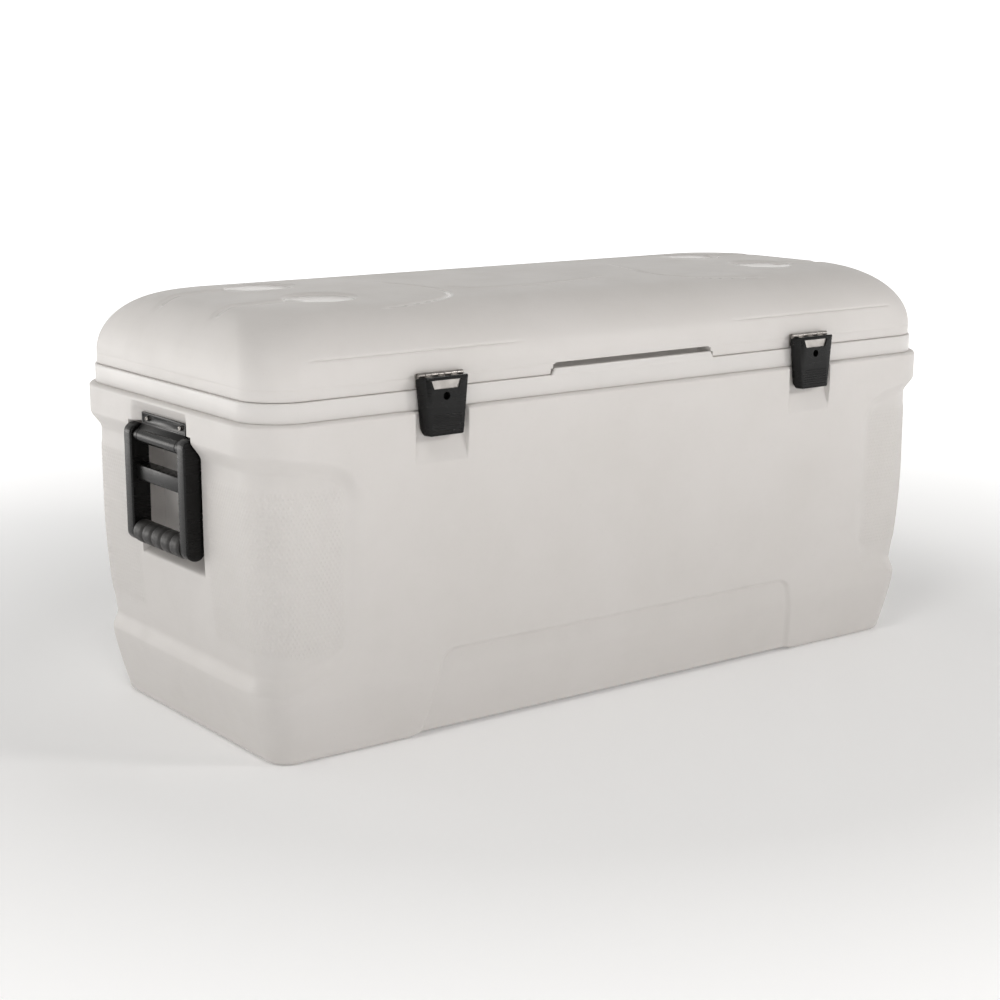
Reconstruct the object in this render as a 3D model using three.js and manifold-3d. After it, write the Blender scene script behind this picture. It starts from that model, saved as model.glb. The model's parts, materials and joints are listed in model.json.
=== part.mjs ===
// Insulated cooler chest with a hinged lid, two latches, two swing-out end handles and a drain.
// Millimetres. X runs along the length, Y from front (-) to back (+), Z up from the floor.

import * as THREE from 'three';
import { mergeVertices } from 'three/addons/utils/BufferGeometryUtils.js';
import Module from 'manifold-3d';

const wasm = await Module();
wasm.setup();

// ---- driving dimensions ----------------------------------------------------------------------

const GAP = 0.3; // between pieces that touch
const WALL = 3; // moulded skins
const SKIN_INSET = 0.6; // bosses and pocket walls end this far inside the outer surface

// The plan outline that every offset below is measured from, outwards positive.
const HALF_LENGTH = 525;
const HALF_WIDTH = 224;
const CORNER = 52.5;

// Outer shell, bottom to top.
const FOOT_ROUND = 11;
const BULGE_Z = 81;
const BELT_LOW_Z = 368;
const BELT_TOP_Z = 399;
const SHELL_TOP_Z = 403.4;
const NECK_TOP_Z = 416;
const SHELL_FLOOR_Z = 9;
const BELT_OUT = 12.4;
const BULGE_OUT = -5;
const FOOT_TAPER = 17.5;
const NECK_OUT = 0.8;

// Sunken panels that wrap each corner and take up the whole of both ends.
const RECESS_OUT = -0.3;
const RECESS_TAPER = 9.7;
const RECESS_STRAIGHT_Z = 253;
const RECESS_FLOOR_Z = 115;
const RECESS_TOP_Z = 366;
const RECESS_LOW_Z = 88;
const RECESS_TOP_SLOPE = 26;
const RECESS_LOW_SLOPE = 20;
const RECESS_TOP_DROP = 19; // how far the upper edge falls towards the middle of the front
const RECESS_LOW_RISE = 31; // how far the ledge rises towards the middle of the front
const RECESS_END_X = 402; // where the front panel begins
const RECESS_BEVEL = 20;
const RECESS_CORNER_X = 500;

// Shallow arched panel low on the front and the back, and the raised belly below it.
const ARCH_TOP_Z = 111;
const ARCH_HALF = 289;
const ARCH_FLARE = 20;
const ARCH_SHOULDER_Z = 95;
const ARCH_DEPTH = 4;
const BELLY_HALF = 312;
const BELLY_RISE = 5;

// Inner liner with the rim band that caps the wall.
const TUB_HALF_LENGTH = 484;
const TUB_HALF_WIDTH = 188;
const TUB_DRAFT = 10;
const TUB_FLOOR_Z = 45;
const TUB_CORNER = 28;
const BAND_OUT = 4.5;
const BAND_LOW_Z = 403.9;
const SEAM_Z = 426.5;

// Lid.
const LID_SIDE_OUT = 1.5;
const LID_ROUND_Z = 441;
const LID_ROUND_RISE = 73;
const LID_ROUND_RUN = 86;
const LID_END_RUN = 60; // the ends turn over more tightly than the front and the back
const LID_CROWN = 9;
const LID_CORNER_GROWTH = 0.35;
const PLUG_DEPTH = 19;
const PLUG_CLEARANCE = 6;
const CUP = { x: 358, y: 71.5, radius: 43, floorZ: 518.2 };

// Finger notch at the middle of the front of the lid.
const NOTCH_HALF_LOW = 132.7;
const NOTCH_HALF_TOP = 122;
const NOTCH_RISE = 14;
const NOTCH_DEPTH = 20;
const TAB_RISE = 8;

// Latches. The pivot runs along X in front of the lid.
const LATCH_X = 295.7;
const LATCH_PIVOT_Y = -231.5;
const LATCH_PIVOT_Z = 443;
const LATCH_KNUCKLE = 3.2;
const LATCH_PIN = 1.5;
const LATCH_HOLE = 1.85;
const LATCH_BARREL = 8.9; // length of each knuckle
const LEVER_FRONT_Y = -245.3;
const LEVER_BACK_Y = -232.5;
const LEVER_SKIN = 1.5;
const LEVER_TOP_Z = 442.5;
const LEVER_LOW_Z = 374;
const LATCH_SEAT_Y = -229;
const LOCK_HOLE = 4.4; // radius of the padlock hole
const LOCK_HOLE_Z = 419.5;
const KEEPER_SCREW_Z = 397.6;

// Handles. The pivot runs along Y. Built for the left end (-X).
const HANDLE_X = -534;
const HANDLE_Z = 356.5;
const GRIP_Z = 239;
const GRIP_RADIUS = 14;
const GRIP_BAR_RADIUS = 8;
const ARM_IN_Y = 59.3;
const ARM_OUT_Y = 77.3;
const ARM_FRONT_X = -545.4;
const ARM_BACK_X = -520.5;
const ARM_TOP_Z = 370;
const ARM_LOW_Z = 225.5;
const BARREL_RADIUS = 8.5;
const BARREL_HALF = 57;
const HANDLE_PIN = 3;
const POCKET_BACK_X = -494;
const POCKET_HALF = 80;
const POCKET_LOW_Z = 204;
const POCKET_TOP_Z = 372.5;
const SCOOP_HALF = 68; // cut in the belt above the pocket, for the bracket
const SCOOP_TOP_Z = 388;
const BRACKET_FACE_X = -527.5;

// Rear hinges.
const HINGE_X = 295.7;
const HINGE_Y = 240.8;
const HINGE_Z = SEAM_Z;
const HINGE_KNUCKLE = 4.5;
const HINGE_PIN = 2;
const HINGE_HOLE = 2.35;
const HINGE_HALF = 45;
const HINGE_LEAF = 1.8;
const HINGE_SCREW_Z = 412.5;
const HINGE_LID_SCREW_Z = 440;

// Drain, at the right end (+X).
const DRAIN_Z = 66;
const DRAIN_SEAT_X = 502;
const SPOUT_RADIUS = 11;
const SPOUT_BORE = 9;
const SPOUT_END_X = 520.5;

const SCREW = { head: 4, rise: 1.8, shank: 1.9, hole: 2.3, length: 9 };

// ---- materials -------------------------------------------------------------------------------

const COLOURS = {
  shell: [0xd2cfc9, 0.5, 0],
  liner: [0xdcdad4, 0.4, 0],
  foam: [0xd9cfa8, 0.9, 0],
  black: [0x2a2a2b, 0.5, 0],
  steel: [0xb9b6b0, 0.35, 1],
  rubber: [0x1c1c1c, 0.8, 0],
};

function material(slot) {
  const [color, roughness, metalness] = COLOURS[slot];
  return new THREE.MeshStandardMaterial({ color, roughness, metalness });
}

// ---- shape helpers ---------------------------------------------------------------------------

const clamp01 = (t) => Math.min(1, Math.max(0, t));

/** 0 at or before `from`, 1 at or past `to`. */
const ramp = (value, from, to) => clamp01((value - from) / (to - from));

/** Points round a rounded rectangle, counter-clockwise, with their outward normals. */
function outline(halfX, halfY, radius, { along, across = [], arc }) {
  const cx = halfX - radius;
  const cy = halfY - radius;
  const sides = [
    { from: [-cx, -halfY], to: [cx, -halfY], turn: -90, centre: [cx, -cy], marks: along },
    { from: [halfX, -cy], to: [halfX, cy], turn: 0, centre: [cx, cy], marks: across },
    { from: [cx, halfY], to: [-cx, halfY], turn: 90, centre: [-cx, cy], marks: along },
    { from: [-halfX, cy], to: [-halfX, -cy], turn: 180, centre: [-cx, -cy], marks: across },
  ];
  const points = [];
  for (const { from, to, turn, centre, marks } of sides) {
    const angle = THREE.MathUtils.degToRad(turn);
    for (const mark of marks) {
      const t = (mark + 1) / 2;
      const x = THREE.MathUtils.lerp(from[0], to[0], t);
      const y = THREE.MathUtils.lerp(from[1], to[1], t);
      points.push({ x, y, nx: Math.cos(angle), ny: Math.sin(angle) });
    }
    for (let i = 0; i <= arc; i += 1) {
      const a = angle + (i / arc) * (Math.PI / 2);
      const nx = Math.cos(a);
      const ny = Math.sin(a);
      points.push({ x: centre[0] + radius * nx, y: centre[1] + radius * ny, nx, ny });
    }
  }
  return points;
}

/** One level of a loft: the outline at height z, pushed out by offset(point). */
function level(points, z, offset = 0) {
  return points.map((p) => {
    const d = typeof offset === 'function' ? offset(p) : offset;
    return new THREE.Vector3(p.x + p.nx * d, p.y + p.ny * d, z);
  });
}

/** Closed surface through levels of equal length, with a fan over the first and the last. */
function loft(levels) {
  const count = levels[0].length;
  const vertices = levels.flat();
  const index = [];
  for (let k = 0; k + 1 < levels.length; k += 1) {
    for (let i = 0; i < count; i += 1) {
      const a = k * count + i;
      const b = k * count + ((i + 1) % count);
      index.push(a, b, b + count, a, b + count, a + count);
    }
  }
  for (const [levelIndex, up] of [[0, false], [levels.length - 1, true]]) {
    const centre = new THREE.Vector3();
    levels[levelIndex].forEach((p) => centre.addScaledVector(p, 1 / count));
    const hub = vertices.push(centre) - 1;
    for (let i = 0; i < count; i += 1) {
      const a = levelIndex * count + i;
      const b = levelIndex * count + ((i + 1) % count);
      index.push(hub, up ? a : b, up ? b : a);
    }
  }
  const geometry = new THREE.BufferGeometry().setFromPoints(vertices);
  geometry.setIndex(index);
  return geometry;
}

function solid(geometry) {
  const bare = geometry.clone();
  bare.deleteAttribute('normal');
  bare.deleteAttribute('uv');
  const merged = mergeVertices(bare, 1e-4);
  const vertProperties = new Float32Array(merged.attributes.position.array);
  const triVerts = new Uint32Array(merged.index.array);
  return new wasm.Manifold(new wasm.Mesh({ numProp: 3, vertProperties, triVerts }));
}

function shape(base, { add = [], keep = [], cut = [], fill = [] } = {}) {
  let result = solid(base);
  for (const geometry of add) {
    let piece = solid(geometry);
    for (const limit of keep) {
      piece = piece.intersect(solid(limit));
    }
    result = result.add(piece);
  }
  for (const geometry of cut) {
    result = result.subtract(solid(geometry));
  }
  for (const geometry of fill) {
    result = result.add(solid(geometry));
  }
  const mesh = result.getMesh();
  const geometry = new THREE.BufferGeometry();
  geometry.setAttribute('position', new THREE.BufferAttribute(mesh.vertProperties, 3));
  geometry.setIndex(new THREE.BufferAttribute(mesh.triVerts, 1));
  return geometry;
}

function box(x0, x1, y0, y1, z0, z1) {
  const geometry = new THREE.BoxGeometry(x1 - x0, y1 - y0, z1 - z0);
  return geometry.translate((x0 + x1) / 2, (y0 + y1) / 2, (z0 + z1) / 2);
}

/** Cylinder along X, Y or Z between two coordinates; the centre is given by the other two. */
function rod(axis, radius, from, to, u, v, sides = 12) {
  const geometry = new THREE.CylinderGeometry(radius, radius, to - from, sides);
  const middle = (from + to) / 2;
  if (axis === 'x') return geometry.rotateZ(Math.PI / 2).translate(middle, u, v);
  if (axis === 'y') return geometry.translate(u, middle, v);
  return geometry.rotateX(Math.PI / 2).translate(u, v, middle);
}

/** Polygon of [y, z] points carried along X. */
function prismX(points, x0, x1) {
  const outlineShape = new THREE.Shape(points.map(([y, z]) => new THREE.Vector2(y, z)));
  const geometry = new THREE.ExtrudeGeometry(outlineShape, { depth: x1 - x0, bevelEnabled: false });
  const turn = new THREE.Matrix4().makeBasis(
    new THREE.Vector3(0, 1, 0),
    new THREE.Vector3(0, 0, 1),
    new THREE.Vector3(1, 0, 0),
  );
  return geometry.applyMatrix4(turn).translate(x0, 0, 0);
}

/** Polygon of [x, z] points carried along Y. */
function prismY(points, y0, y1) {
  const outlineShape = new THREE.Shape(points.map(([x, z]) => new THREE.Vector2(x, z)));
  const geometry = new THREE.ExtrudeGeometry(outlineShape, { depth: y1 - y0, bevelEnabled: false });
  return geometry.rotateX(Math.PI / 2).translate(0, y1, 0);
}

/** Stadium with its axis up: full round ends at z0 and z1. */
function armProfile(x0, x1, z0, z1, arc = 8) {
  const radius = (x1 - x0) / 2;
  const cx = (x0 + x1) / 2;
  const points = [];
  for (const [cz, start] of [[z0 + radius, Math.PI], [z1 - radius, 0]]) {
    for (let i = 0; i <= arc; i += 1) {
      const a = start + (i / arc) * Math.PI;
      points.push([cx + radius * Math.cos(a), cz + radius * Math.sin(a)]);
    }
  }
  return points;
}

function mesh(name, geometry, slot) {
  const part = new THREE.Mesh(geometry, material(slot));
  part.name = name;
  return part;
}

// ---- outer shell -----------------------------------------------------------------------------

function panelOffset(z) {
  if (z >= BELT_LOW_Z) return BELT_OUT;
  if (z >= BULGE_Z) return THREE.MathUtils.lerp(BULGE_OUT, BELT_OUT, ramp(z, BULGE_Z, BELT_LOW_Z));
  const drop = ramp(BULGE_Z - z, 0, BULGE_Z - FOOT_ROUND) ** 1.2;
  const round = FOOT_ROUND - Math.sqrt(FOOT_ROUND ** 2 - Math.max(0, FOOT_ROUND - z) ** 2);
  return BULGE_OUT - FOOT_TAPER * drop - round;
}

function recessOffset(z) {
  const low = Math.max(0, RECESS_STRAIGHT_Z - z) / (RECESS_STRAIGHT_Z - RECESS_FLOOR_Z);
  return RECESS_OUT - RECESS_TAPER * low ** 2;
}

/** 1 on the floor of a sunken corner panel, 0 on the surface round it. */
function recessMask(x, z) {
  const inwards = ramp(-Math.abs(x), -RECESS_CORNER_X, -RECESS_END_X);
  const side = ramp(Math.abs(x), RECESS_END_X, RECESS_END_X + RECESS_BEVEL);
  const high = RECESS_TOP_Z - RECESS_TOP_DROP * inwards;
  const low = RECESS_LOW_Z + RECESS_LOW_RISE * inwards;
  const top = ramp(-z, -high, RECESS_TOP_SLOPE - high);
  const bottom = ramp(z, low, low + RECESS_LOW_SLOPE);
  return side * top * bottom;
}

function archMask(p, z) {
  if (Math.abs(p.ny) < 0.9) return 0;
  const flare = ARCH_FLARE * ramp(-z, -ARCH_SHOULDER_Z, 0);
  const shoulder = 17 * ramp(z, ARCH_SHOULDER_Z, ARCH_TOP_Z) ** 2;
  const half = ARCH_HALF + flare - shoulder;
  return ramp(half - Math.abs(p.x), 0, 6) * ramp(-z, -ARCH_TOP_Z, 4 - ARCH_TOP_Z);
}

function shellOffset(p, z) {
  const flush = panelOffset(z);
  const mask = recessMask(p.x, z);
  const floor = Math.min(flush, recessOffset(z));
  return THREE.MathUtils.lerp(flush, floor, mask) - ARCH_DEPTH * archMask(p, z);
}

const SHELL_MARKS = (() => {
  const half = HALF_LENGTH - CORNER;
  const places = [262, 312, RECESS_END_X, RECESS_END_X + RECESS_BEVEL];
  const right = places.map((x) => x / half);
  return [...right.map((t) => -t).reverse(), ...right];
})();

const SHELL_PLAN = outline(HALF_LENGTH, HALF_WIDTH, CORNER, { along: SHELL_MARKS, arc: 4 });

const SHELL_LEVELS = [11, 46, 81, 107, 139, 195, 253, 325, 346, 367, BELT_TOP_Z];

/** The shell's outer surface, moved in by `inset`, up to its shoulder. */
function shellSurface(inset = 0) {
  return [
    level(SHELL_PLAN, inset, (p) => shellOffset(p, 0) - inset),
    ...SHELL_LEVELS.map((z) => level(SHELL_PLAN, z, (p) => shellOffset(p, z) - inset)),
    level(SHELL_PLAN, SHELL_TOP_Z - inset, BELT_OUT - 3 - inset),
  ];
}

function handlePocket(grow) {
  const mouth = [POCKET_LOW_Z - grow, POCKET_TOP_Z + grow, POCKET_HALF + grow];
  const back = [POCKET_LOW_Z + 8 - grow, POCKET_TOP_Z - 2 + grow, POCKET_HALF - 4 + grow];
  const mouthX = HALF_LENGTH + 35;
  return (side) => {
    const rings = [[mouth, -mouthX], [back, POCKET_BACK_X + grow]].map(([[low, high, half], x]) => [
      new THREE.Vector3(x, -half, low),
      new THREE.Vector3(x, half, low),
      new THREE.Vector3(x, half, high),
      new THREE.Vector3(x, -half, high),
    ]);
    const geometry = loft(rings);
    return side > 0 ? geometry.rotateZ(Math.PI) : geometry;
  };
}

/** The left-end shape as it is, or turned half round the Z axis for the right end. */
const atEnd = (geometry, side) => (side > 0 ? geometry.rotateZ(Math.PI) : geometry);

function outerShell() {
  const outerSolid = loft(shellSurface(SKIN_INSET));
  const inner = [...SHELL_LEVELS].reverse().filter((z) => z > SHELL_FLOOR_Z);
  const shell = loft([
    ...shellSurface(),
    level(SHELL_PLAN, SHELL_TOP_Z, NECK_OUT),
    level(SHELL_PLAN, NECK_TOP_Z, NECK_OUT),
    level(SHELL_PLAN, NECK_TOP_Z, NECK_OUT - WALL),
    level(SHELL_PLAN, SHELL_TOP_Z - WALL, NECK_OUT - WALL),
    ...inner.map((z) => level(SHELL_PLAN, z, (p) => shellOffset(p, z) - WALL)),
    level(SHELL_PLAN, SHELL_FLOOR_Z, (p) => shellOffset(p, SHELL_FLOOR_Z) - WALL - 3),
  ]);
  const add = [];
  const cut = [];
  const fill = [];
  for (const side of [-1, 1]) {
    add.push(handlePocket(WALL)(side));
    add.push(atEnd(box(-540, -517, -POCKET_HALF - WALL, POCKET_HALF + WALL, POCKET_TOP_Z, 403), side));
    cut.push(handlePocket(0)(side));
    const [face, low] = [BRACKET_FACE_X, POCKET_TOP_Z - 1];
    const scoop = [[-545, low], [face, low], [face, SCOOP_TOP_Z], [-545, SCOOP_TOP_Z + 12]];
    cut.push(atEnd(prismY(scoop, -SCOOP_HALF, SCOOP_HALF), side));
    cut.push(...[-42, 42].map((y) => atEnd(rod('x', SCREW.hole, -530, -510, y, 377, 8), side)));
    fill.push(atEnd(box(face, POCKET_BACK_X + 1, -BARREL_HALF, BARREL_HALF, 363, low + 0.5), side));
    const cx = side * LATCH_X;
    const [seat, ahead] = [LATCH_SEAT_Y, -250];
    add.push(box(cx - 39, cx + 39, ahead, seat + WALL, 337, SHELL_TOP_Z));
    const dip = [[ahead, 338], [-235.4, 338], [seat, 372], [seat, SEAM_Z], [ahead, SEAM_Z]];
    cut.push(prismX(dip, cx - 36, cx + 36));
    for (const dx of [-30, 30]) {
      cut.push(rod('y', SCREW.hole, HALF_WIDTH - 5, HALF_WIDTH + 2, cx + dx, HINGE_SCREW_Z, 8));
    }
    for (const dx of [-12, 12]) {
      cut.push(rod('y', SCREW.hole, seat - 2, seat + 5, cx + dx, KEEPER_SCREW_Z, 8));
    }
  }
  add.push(rod('x', 27, DRAIN_SEAT_X - WALL, 530, 0, DRAIN_Z, 16));
  cut.push(rod('x', 24, DRAIN_SEAT_X, 530, 0, DRAIN_Z, 16));
  cut.push(rod('x', SPOUT_RADIUS + 0.6, 490, 530, 0, DRAIN_Z, 16));
  const belly = [[-HALF_WIDTH, -1], [HALF_WIDTH, -1], [HALF_WIDTH, BELLY_RISE], [-HALF_WIDTH, BELLY_RISE]];
  cut.push(prismX(belly, -BELLY_HALF, BELLY_HALF));
  return shape(shell, { add, keep: [outerSolid], cut, fill });
}

// ---- inner liner -----------------------------------------------------------------------------

const PLAIN = { along: [-1 / 3, 1 / 3], arc: 4 };

/** Tub outline at a height, grown outwards by `grow`. */
function tubLevel(z, grow, shrink = 0) {
  const draft = TUB_DRAFT * ramp(-z, -SEAM_Z, -TUB_FLOOR_Z) + shrink - grow;
  const radius = TUB_CORNER - draft * 0.4;
  return level(outline(TUB_HALF_LENGTH - draft, TUB_HALF_WIDTH - draft, radius, PLAIN), z);
}

function planLevel(z, offset) {
  return level(outline(HALF_LENGTH + offset, HALF_WIDTH + offset, CORNER + offset, PLAIN), z);
}

function innerLiner() {
  const base = loft([
    tubLevel(TUB_FLOOR_Z - WALL, WALL, 9),
    tubLevel(TUB_FLOOR_Z + 8, WALL),
    tubLevel(SEAM_Z - WALL, WALL),
    planLevel(SEAM_Z - WALL, BAND_OUT - WALL + 0.1),
    planLevel(BAND_LOW_Z, BAND_OUT - WALL + 0.1),
    planLevel(BAND_LOW_Z, BAND_OUT),
    planLevel(SEAM_Z - 1.2, BAND_OUT),
    planLevel(SEAM_Z, BAND_OUT - 1.2),
    tubLevel(SEAM_Z, 0),
    tubLevel(TUB_FLOOR_Z + 8, 0),
    tubLevel(TUB_FLOOR_Z, 0, 9),
  ]);
  const front = -(HALF_WIDTH + BAND_OUT);
  const slant = NOTCH_HALF_LOW - NOTCH_HALF_TOP;
  const low = SEAM_Z - 2;
  const tabHalf = NOTCH_HALF_LOW - 2;
  const tabTop = tabHalf - slant * 0.6;
  const tabZ = SEAM_Z + TAB_RISE;
  const tab = [[-tabHalf, low], [tabHalf, low], [tabTop, tabZ], [-tabTop, tabZ]];
  const cut = [rod('x', SPOUT_RADIUS + 0.6, 460, 500, 0, DRAIN_Z, 16)];
  for (const side of [-1, 1]) {
    for (const dx of [-30, 30]) {
      cut.push(rod('y', SCREW.hole, HALF_WIDTH - 5, HALF_WIDTH + 8, side * HINGE_X + dx, HINGE_SCREW_Z, 8));
    }
  }
  return shape(base, { add: [prismY(tab, front, front + 5)], cut });
}

// ---- foam ------------------------------------------------------------------------------------

function bodyFoam() {
  const base = loft([
    planLevel(SHELL_FLOOR_Z + 4, -52),
    planLevel(40, -32),
    planLevel(120, -18),
    planLevel(200, -12),
    planLevel(398, -12),
    tubLevel(398, WALL + 1.5),
    tubLevel(TUB_FLOOR_Z + 8, WALL + 1.5),
    tubLevel(TUB_FLOOR_Z - WALL - 1.5, WALL + 1.5, 9),
  ]);
  const cut = [-1, 1].map((side) => {
    const half = POCKET_HALF + 8;
    return atEnd(box(-540, -470, -half, half, POCKET_LOW_Z - 8, 410), side);
  });
  cut.push(rod('x', 31, 460, 540, 0, DRAIN_Z, 12));
  return shape(base, { cut });
}

// ---- lid -------------------------------------------------------------------------------------

const LID_MARKS = { along: [0], arc: 4 };

/** Lid outline moved in by `inset`; the corners open out as it shrinks. */
function lidLevel(inset, z, marks = LID_MARKS) {
  const tighter = (LID_ROUND_RUN - LID_END_RUN) * ramp(inset, WALL, LID_ROUND_RUN);
  const halfX = HALF_LENGTH + LID_SIDE_OUT - inset + tighter;
  const halfY = HALF_WIDTH + LID_SIDE_OUT - inset;
  const radius = Math.min(CORNER + LID_CORNER_GROWTH * inset, halfY - 2);
  return level(outline(halfX, halfY, radius, marks), z);
}

/** Height of the lid's outer skin at a distance in from its edge. */
function lidHeight(inset) {
  const s = 1 - Math.min(inset, LID_ROUND_RUN) / LID_ROUND_RUN;
  const crown = 1 - (1 - Math.min(1, inset / HALF_WIDTH)) ** 1.6;
  return LID_ROUND_Z + LID_ROUND_RISE * Math.sqrt(1 - s * s) + LID_CROWN * crown;
}

const LID_INSETS = [3, 12, 30, 60, 110, 200];

/** The lid's outer surface, moved in by `inset`. */
function lidSurface(inset = 0) {
  return [
    lidLevel(1.2 + inset, SEAM_Z + GAP + inset),
    lidLevel(inset, SEAM_Z + 2),
    lidLevel(inset, LID_ROUND_Z - inset),
    ...LID_INSETS.map((run) => lidLevel(run + inset, lidHeight(run) - inset)),
  ];
}

function notchPrism(grow) {
  const low = SEAM_Z - 4;
  const [wide, narrow] = [NOTCH_HALF_LOW + grow, NOTCH_HALF_TOP + grow];
  const top = SEAM_Z + NOTCH_RISE + grow;
  const points = [[-wide, low], [wide, low], [narrow, top], [-narrow, top]];
  return prismY(points, -HALF_WIDTH - 10, -HALF_WIDTH + NOTCH_DEPTH + grow);
}

function lidOuter() {
  const outerSolid = loft(lidSurface(SKIN_INSET));
  const inner = [...LID_INSETS].reverse().map((inset) => lidLevel(inset + WALL, lidHeight(inset) - WALL));
  const skin = loft([
    ...inner,
    lidLevel(WALL, LID_ROUND_Z - 2),
    lidLevel(WALL, SEAM_Z + GAP),
    ...lidSurface(),
  ]);
  const cut = [notchPrism(0)];
  const cups = [];
  for (const side of [-1, 1]) {
    for (const depth of [-1, 1]) {
      const [x, y] = [side * CUP.x, depth * CUP.y];
      cups.push(rod('z', CUP.radius + 2, CUP.floorZ - WALL, 526, x, y, 20));
      cut.push(rod('z', CUP.radius, CUP.floorZ, 526, x, y, 20));
    }
    for (const dx of [-15, 15]) {
      cut.push(rod('y', SCREW.hole, -HALF_WIDTH - 4, -HALF_WIDTH + 6, side * LATCH_X + dx, 434, 8));
    }
    for (const dx of [-30, 30]) {
      const x = side * HINGE_X + dx;
      cut.push(rod('y', SCREW.hole, HALF_WIDTH - 6, HALF_WIDTH + 4, x, HINGE_LID_SCREW_Z, 8));
    }
  }
  return shape(skin, { add: [...cups, notchPrism(WALL)], keep: [outerSolid], cut });
}

function lidInner() {
  const low = SEAM_Z - PLUG_DEPTH;
  const sheet = WALL - 0.5;
  const flange = -(WALL + GAP + 0.5);
  const base = loft([
    tubLevel(low, -PLUG_CLEARANCE - 4),
    tubLevel(low + 4, -PLUG_CLEARANCE),
    tubLevel(SEAM_Z + 0.5, -PLUG_CLEARANCE),
    planLevel(SEAM_Z + 0.5, flange),
    planLevel(SEAM_Z + 0.5 + sheet, flange),
    tubLevel(SEAM_Z + 0.5 + sheet, -PLUG_CLEARANCE - sheet),
    tubLevel(low + 4 + sheet, -PLUG_CLEARANCE - sheet),
    tubLevel(low + sheet, -PLUG_CLEARANCE - 4 - sheet),
  ]);
  return shape(base, { cut: [notchPrism(WALL + GAP)] });
}

function lidFoam() {
  const low = SEAM_Z - PLUG_DEPTH;
  const base = loft([
    tubLevel(low + 5, -PLUG_CLEARANCE - 9),
    tubLevel(SEAM_Z + 4.5, -PLUG_CLEARANCE - 9),
    planLevel(SEAM_Z + 4.5, -16),
    planLevel(465, -20),
    lidLevel(60, 496, PLAIN),
    lidLevel(110, 508, PLAIN),
  ]);
  return shape(base, { cut: [notchPrism(WALL + 3)] });
}

// ---- fasteners -------------------------------------------------------------------------------

/** Pan-head screw whose head seats at z = 0 and whose shank runs down. */
function screwGeometry() {
  const { head, rise, shank, length } = SCREW;
  const profile = [
    [0, -length],
    [shank, -length + 1.5],
    [shank, 0],
    [head, 0],
    [head * 0.7, rise],
    [0, rise],
  ];
  const points = profile.map(([r, z]) => new THREE.Vector2(r, z));
  return new THREE.LatheGeometry(points, 8).rotateX(Math.PI / 2);
}

/** A screw at a place, driven along -axis, with the head's seat clear of the plate by the gap. */
function screw(name, [x, y, z], axis) {
  const part = mesh(name, screwGeometry(), 'steel');
  const direction = new THREE.Vector3(...axis);
  part.quaternion.setFromUnitVectors(new THREE.Vector3(0, 0, 1), direction);
  part.position.set(x, y, z).addScaledVector(direction, GAP);
  return part;
}

// ---- latch -----------------------------------------------------------------------------------

const KNUCKLE_HALF = (7 * LATCH_BARREL) / 2;

/** Knuckles of a hinge: every second barrel from `first`, with the strap that joins it. */
function barrels(axisY, axisZ, radius, strap, half, count, first, sides) {
  const pitch = (2 * half) / count;
  const pieces = [];
  for (let i = first; i < count; i += 2) {
    const from = -half + i * pitch + (i ? GAP / 2 : 0);
    const to = -half + (i + 1) * pitch - (i < count - 1 ? GAP / 2 : 0);
    pieces.push(rod('x', radius, from, to, axisY, axisZ, sides));
    pieces.push(prismX(strap, from, to));
  }
  return pieces;
}

function latchHingePlate() {
  const back = -HALF_WIDTH - LID_SIDE_OUT - 0.6;
  const front = back - 1.4;
  const strap = [
    [back, 440],
    [back, 444.6],
    [LATCH_PIVOT_Y, LATCH_PIVOT_Z + LATCH_KNUCKLE],
    [LATCH_PIVOT_Y, LATCH_PIVOT_Z + 1.9],
    [front, 442.4],
    [front, 440],
  ].reverse();
  const plate = box(-KNUCKLE_HALF, KNUCKLE_HALF, front, back, 429.5, 440.2);
  const add = barrels(LATCH_PIVOT_Y, LATCH_PIVOT_Z, LATCH_KNUCKLE, strap, KNUCKLE_HALF, 7, 0, 8);
  const cut = [rod('x', LATCH_HOLE, -40, 40, LATCH_PIVOT_Y, LATCH_PIVOT_Z, 8)];
  for (const dx of [-15, 15]) {
    cut.push(rod('y', SCREW.hole, front - 1, back + 1, dx, 434, 8));
  }
  return shape(plate, { add, cut });
}

function latchLeaf() {
  const front = LEVER_FRONT_Y + LEVER_SKIN + GAP;
  const back = front + 1.4;
  const strap = [
    [LATCH_PIVOT_Y - 2, LATCH_PIVOT_Z + 1.5],
    [LATCH_PIVOT_Y - 2, 438.2],
    [back, 438.2],
    [front + 0.2, 438.2],
    [front + 0.2, 439.6],
    [LATCH_PIVOT_Y - 3, 439.8],
  ];
  const add = barrels(LATCH_PIVOT_Y, LATCH_PIVOT_Z, LATCH_KNUCKLE, strap, KNUCKLE_HALF, 7, 1, 8);
  const sheet = prismY([[-18.5, 385], [18.5, 385], [23, 439.6], [-23, 439.6]], front, back);
  const cut = [
    rod('x', LATCH_HOLE, -40, 40, LATCH_PIVOT_Y, LATCH_PIVOT_Z, 8),
    rod('y', LOCK_HOLE, front - 1, back + 1, 0, LOCK_HOLE_Z, 12),
  ];
  return shape(sheet, { add, cut });
}

/** Outline of the lever at one depth, as seen from the front. */
function leverOutline(y, halfTop, halfLow, top, low, corner) {
  return [
    [-halfLow + corner, low],
    [halfLow - corner, low],
    [halfLow, low + corner],
    [halfTop, top - 1],
    [halfTop - 1, top],
    [-halfTop + 1, top],
    [-halfTop, top - 1],
    [-halfLow, low + corner],
  ].map(([x, z]) => new THREE.Vector3(x, y, z));
}

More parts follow.
